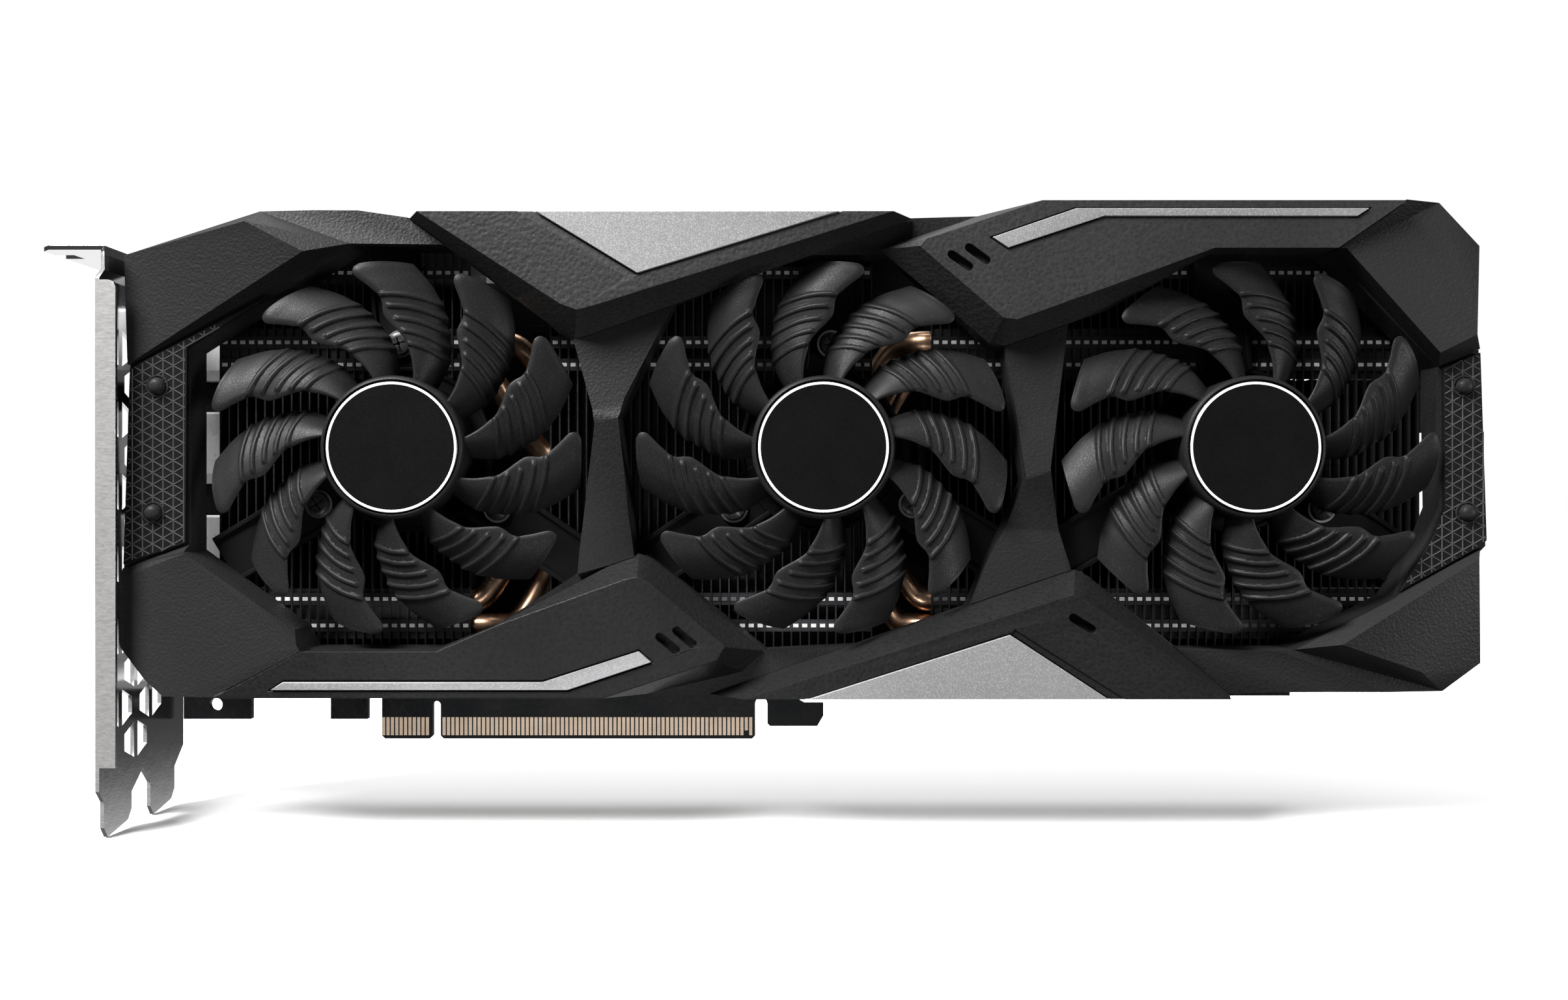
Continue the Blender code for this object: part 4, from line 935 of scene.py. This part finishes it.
def make_components():
    """Chokes, capacitors and small chips on the fan side of the board."""
    parts = Shape()
    rng = np.random.default_rng(7)
    for x in np.arange(-66, -24, 9.0):
        parts.box((x, -4.2, 17.5), (x + 7.0, BOARD_FRONT, 24.5))
    for x in np.arange(64.0, 104.0, 9.0):
        parts.box((x, -4.4, 62.0), (x + 7.2, BOARD_FRONT, 69.2))
    make("chokes", parts, "dark", bevel=0.4, segments=3)
    chips = Shape()
    for _ in range(90):
        x, z = rng.uniform(-60, 150), rng.uniform(12, 100)
        if abs(x - 27) < 27 and abs(z - 60) < 25:
            continue
        if 105 < x < 146 and z > 92:
            continue
        w, h = rng.choice([0.8, 1.2, 2.0, 3.2]), rng.choice([0.6, 1.0, 1.6])
        chips.box((x, -1.5, z), (x + w, BOARD_FRONT, z + h))
    for x in np.arange(-10, 70, 16.0):
        chips.box((x, -2.0, 92.0), (x + 12.0, BOARD_FRONT, 100.0))
    make("board_chips", chips, "nylon", bevel=0.08)
    cans = Shape()
    can = [(0, -3.9), (2.2, -3.9), (3.0, -3.9), (3.15, -3.7), (3.15, -1.5)]
    can += [(2.9, BOARD_FRONT), (0, BOARD_FRONT)]
    places = [(-74, z) for z in range(34, 65, 10)] + [(150, z) for z in range(30, 79, 12)]
    for place in places:
        cans.turned(can, place, 40)
    make("capacitors", cans, "shell", smooth=40)


def make_ports():
    """Four metal shells, each with a contact blade inside a mouth with one cut corner."""
    for number in range(1, 5):
        node = f"video_port_{number}"
        low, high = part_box(node)
        left, right = 1000 * low[0], 1000 * high[0]
        front, back = 1000 * low[1], 1000 * high[1]
        bottom, top = 1000 * low[2], 1000 * high[2]
        middle = (front + back) / 2

        def section(inset, x):
            f, b, lo, hi = front + inset, back - inset, bottom + inset, top - inset
            return [(x, f, lo + 2.2), (x, f, hi - 0.5), (x, f + 0.5, hi), (x, b - 0.5, hi), (x, b, hi - 0.5),
                    (x, b, lo + 0.5), (x, b - 0.5, lo), (x, f + 2.2, lo)]

        shape = Shape()
        rings = [section(0.0, right), section(0.0, left + 0.15), section(0.12, left), section(0.5, left),
                 section(0.6, left + 0.3), section(0.6, right - 4.0)]
        shape.loft(rings)
        for z in (bottom + 3.4, top - 4.6):
            shape.box((left + 2.5, front - 0.12, z), (left + 9.0, front + 0.1, z + 1.4))
        make(f"port_shell_{number}", shape, "shell", "card", [node], smooth=30)
        blade = Shape()
        blade.box((left + 1.4, middle - 0.55, bottom + 2.6), (right - 3.9, middle + 0.55, top - 2.2))
        make(f"port_blade_{number}", blade, "nylon", bevel=0.12)
        pins = Shape()
        for index in range(10):
            z = bottom + 3.4 + index
            for y in (middle - 0.68, middle + 0.54):
                pins.box((left + 1.8, y, z - 0.2), (right - 5.0, y + 0.14, z + 0.2))
        make(f"port_pins_{number}", pins, "gold")


SOCKET_WALL = 0.9


def make_sockets():
    """Moulded power sockets: a wall round a grid of square cells, each with a metal pin."""
    for ways, columns in ((6, 3), (8, 4)):
        node = f"power_socket_{ways}_pin"
        low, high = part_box(node)
        left, right, front, back = 1000 * low[0], 1000 * high[0], 1000 * low[1], 1000 * high[1]
        bottom, top = 1000 * low[2], 1000 * high[2]
        floor, middle = bottom + 2.9, (left + right) / 2
        shape, pins = Shape(), Shape()
        shape.box((left, front, bottom), (right, back, bottom + 3.0))
        shape.box((left, front, bottom), (left + SOCKET_WALL, back, top))
        shape.box((right - SOCKET_WALL, front, bottom), (right, back, top))
        shape.box((left, front, bottom), (right, front + SOCKET_WALL, top))
        shape.box((left, back - SOCKET_WALL, bottom), (right, back, top))
        wide = (right - left - 2 * SOCKET_WALL) / columns
        deep = (back - front - 2 * SOCKET_WALL) / 2
        for column in range(columns):
            for row in range(2):
                x = left + SOCKET_WALL + wide * (column + 0.5)
                y = front + SOCKET_WALL + deep * (row + 0.5)
                corner = (x - wide / 2, y - deep / 2, floor)
                shape.box(corner, (x - wide / 2 + 0.5, y + deep / 2, top - 3.4))
                shape.box(corner, (x + wide / 2, y - deep / 2 + 0.5, top - 3.4))
                pins.box((x - 0.4, y - 0.4, floor), (x + 0.4, y + 0.4, top - 2.6))
        shape.box((middle - 1.6, front - 0.02, top - 2.6), (middle + 1.6, front + 0.2, top - 1.4))
        make(f"socket_{ways}", shape, "nylon", "card", [node], bevel=0.1)
        make(f"socket_pins_{ways}", pins, "shell", bevel=0.12)


CHIP_CENTRE = (27, 60.5)
BRACE_ARM = [(-32, 2.6), (-12, 4.0), (12, 4.0), (32, 2.6)]


def make_metalwork():
    """The bracket and the backplate, with the backplate's screws, cross brace and raised ribs."""
    dress("io_bracket", "steel", 0.12)
    dress("backplate", "dark", 0.2)
    _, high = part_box("backplate")
    back = 1000 * high[1]
    screws = Shape()
    places = [(-84, 20), (-84, 97), (-20, 97), (-20, 20), (60, 20), (60, 97), (148, 20), (148, 97)]
    places += [(3, 36.5), (51, 36.5), (3, 84.5), (51, 84.5)]
    for x, z in places:
        rim = [(0, back - 0.1), (2.6, back - 0.1), (2.6, back + 0.5), (2.3, back + 0.9), (1.2, back + 1.0)]
        screws.turned(rim + [(0.9, back + 0.3), (0, back + 0.3)], (x, z), 40)
    make("backplate_screws", screws, "bright", smooth=35)
    cross = Shape()
    for turn in (45, 135):
        t = math.radians(turn)
        along, over = (math.cos(t), math.sin(t)), (-math.sin(t), math.cos(t))
        outline = []
        for reach, half in BRACE_ARM + [(reach, -half) for reach, half in BRACE_ARM[::-1]]:
            outline.append(tuple(CHIP_CENTRE[i] + along[i] * reach + over[i] * half for i in range(2)))
        cross.prism(outline, back - 0.05, back + 0.8, 1)
    make("backplate_brace", cross, "bright", bevel=0.2)
    ribs = Shape()
    for z in (15.0, 102.0):
        ribs.box((-88, back - 0.05, z - 0.6), (172, back + 0.25, z + 0.6))
    for index in range(7):
        for x in (70 + 11 * index, -84 + 11 * index):
            if x > 0 or x + 15 < -4:
                ribs.prism([(x, 34), (x + 3.2, 34), (x + 15, 84), (x + 11.8, 84)], back - 0.05, back + 0.25, 1)
    make("backplate_ribs", ribs, "dark", bevel=0.1)


# ---------------------------------------------------------------- camera, light and floor


def area_light(name, place, target, size, power):
    light = bpy.data.lights.new(name, "AREA")
    light.shape = "RECTANGLE"
    light.size, light.size_y = size
    light.energy = power
    obj = bpy.data.objects.new(name, light)
    obj.location = place
    obj.rotation_euler = (Vector(target) - Vector(place)).to_track_quat("-Z", "Y").to_euler()
    obj.visible_camera = False
    bpy.context.scene.collection.objects.link(obj)


def make_world():
    """White for the camera. For the object, a dark room that is pale low down behind it and
    faintly so low down ahead of it."""
    world = bpy.data.worlds.new("studio")
    world.use_nodes = True
    bpy.context.scene.world = world
    tree = world.node_tree

    def ranged(value, low, high, to_low, to_high):
        node = tree.nodes.new("ShaderNodeMapRange")
        for socket, number in zip(RANGE_SOCKETS, (low, high, to_low, to_high)):
            node.inputs[socket].default_value = number
        tree.links.new(value, node.inputs["Value"])
        return node

    def maths(operation, one, two):
        node = tree.nodes.new("ShaderNodeMath")
        node.operation = operation
        tree.links.new(one, node.inputs[0])
        if isinstance(two, float):
            node.inputs[1].default_value = two
        else:
            tree.links.new(two, node.inputs[1])
        return node.outputs["Value"]

    background = tree.nodes["Background"]
    background.inputs["Color"].default_value = (1, 1, 1, 1)
    way = tree.nodes.new("ShaderNodeSeparateXYZ")
    tree.links.new(tree.nodes.new("ShaderNodeTexCoord").outputs["Generated"], way.inputs["Vector"])
    low = maths("ADD", way.outputs["Z"], maths("MULTIPLY", way.outputs["X"], 0.15))
    pale = ranged(low, -0.11, -0.2, 0.0, 1.1).outputs["Result"]
    behind = ranged(way.outputs["Y"], 0.1, 0.5, 0.0, 1.0).outputs["Result"]
    glow = ranged(way.outputs["Z"], -0.05, -0.3, 0.0, 0.2).outputs["Result"]
    ahead = ranged(way.outputs["Y"], -0.1, -0.4, 0.0, 1.0).outputs["Result"]
    room = maths("ADD", maths("MULTIPLY", pale, behind), maths("MULTIPLY", glow, ahead))
    room = maths("ADD", room, 0.06)
    seen = tree.nodes.new("ShaderNodeLightPath").outputs["Is Camera Ray"]
    strength = ranged(seen, 0.0, 1.0, 0.0, 1.0)
    tree.links.new(room, strength.inputs["To Min"])
    tree.links.new(strength.outputs["Result"], background.inputs["Strength"])


def make_camera():
    camera = bpy.data.cameras.new("camera")
    camera.sensor_width = 36.0
    camera.lens = 36.0 * 2092 / 2408
    camera.clip_start = 0.01
    camera.clip_end = 20.0
    eye = bpy.data.objects.new("camera", camera)
    eye.location = (0.0425, -0.3118, 0.0545)
    eye.rotation_euler = (math.radians(90), 0, 0)
    bpy.context.scene.collection.objects.link(eye)
    bpy.context.scene.camera = eye
    bpy.context.scene.view_settings.view_transform = "Standard"


def make_lights():
    """A key above the bracket, a low fill at the far end, a strip for the contacts and a soft sun."""
    area_light("key", (-0.42, -0.5, 0.72), (0.02, 0, 0.06), (0.45, 0.35), 30.0)
    area_light("fill", (1.05, -0.6, 0.06), (0.04, 0, 0.04), (0.4, 0.3), 9.0)
    area_light("contacts", (-0.007, -0.125, -0.006), (-0.007, 0, 0.006), (0.12, 0.012), 0.045)
    sun = bpy.data.lights.new("top", "SUN")
    sun.energy = 3.4
    sun.angle = math.radians(80)
    lamp = bpy.data.objects.new("top", sun)
    lamp.rotation_euler = (math.radians(-10), math.radians(-8), 0)
    bpy.context.scene.collection.objects.link(lamp)


FLOOR_HALF, FLOOR_DEEP, FLOOR_GAP = 6000, 20, 0.2


def make_floor():
    """A pale floor just under the part, seen by the camera and hidden from the part's reflections."""
    look = Look("floor_pale", 0.75)
    tone = look.noise(3.0, 3.0)
    look.colour(look.mixed(look.ranged(tone, 0.3, 0.7), (0.98, 0.98, 0.98), (0.995, 0.995, 0.995)))
    look.bump((look.noise(400, 2.0), 0.05))
    floor = Shape()
    level = 1000 * cad_low[2] - FLOOR_GAP
    floor.box((-FLOOR_HALF, -FLOOR_HALF, level - FLOOR_DEEP), (FLOOR_HALF, FLOOR_HALF, level))
    mesh = bpy.data.meshes.new("floor")
    mesh.from_pydata([[value * MM for value in point] for point in floor.points], [], floor.faces)
    mesh.materials.append(look.material)
    obj = bpy.data.objects.new("floor", mesh)
    obj.visible_glossy = False
    obj.visible_diffuse = False
    bpy.context.scene.collection.objects.link(obj)


make_fans()
make_fin_stacks()
make_baffles()
make_heat_pipes()
make_panels()
make_shroud()
make_board()
make_ports()
make_sockets()
make_metalwork()
make_camera()
make_lights()
make_world()
make_floor()
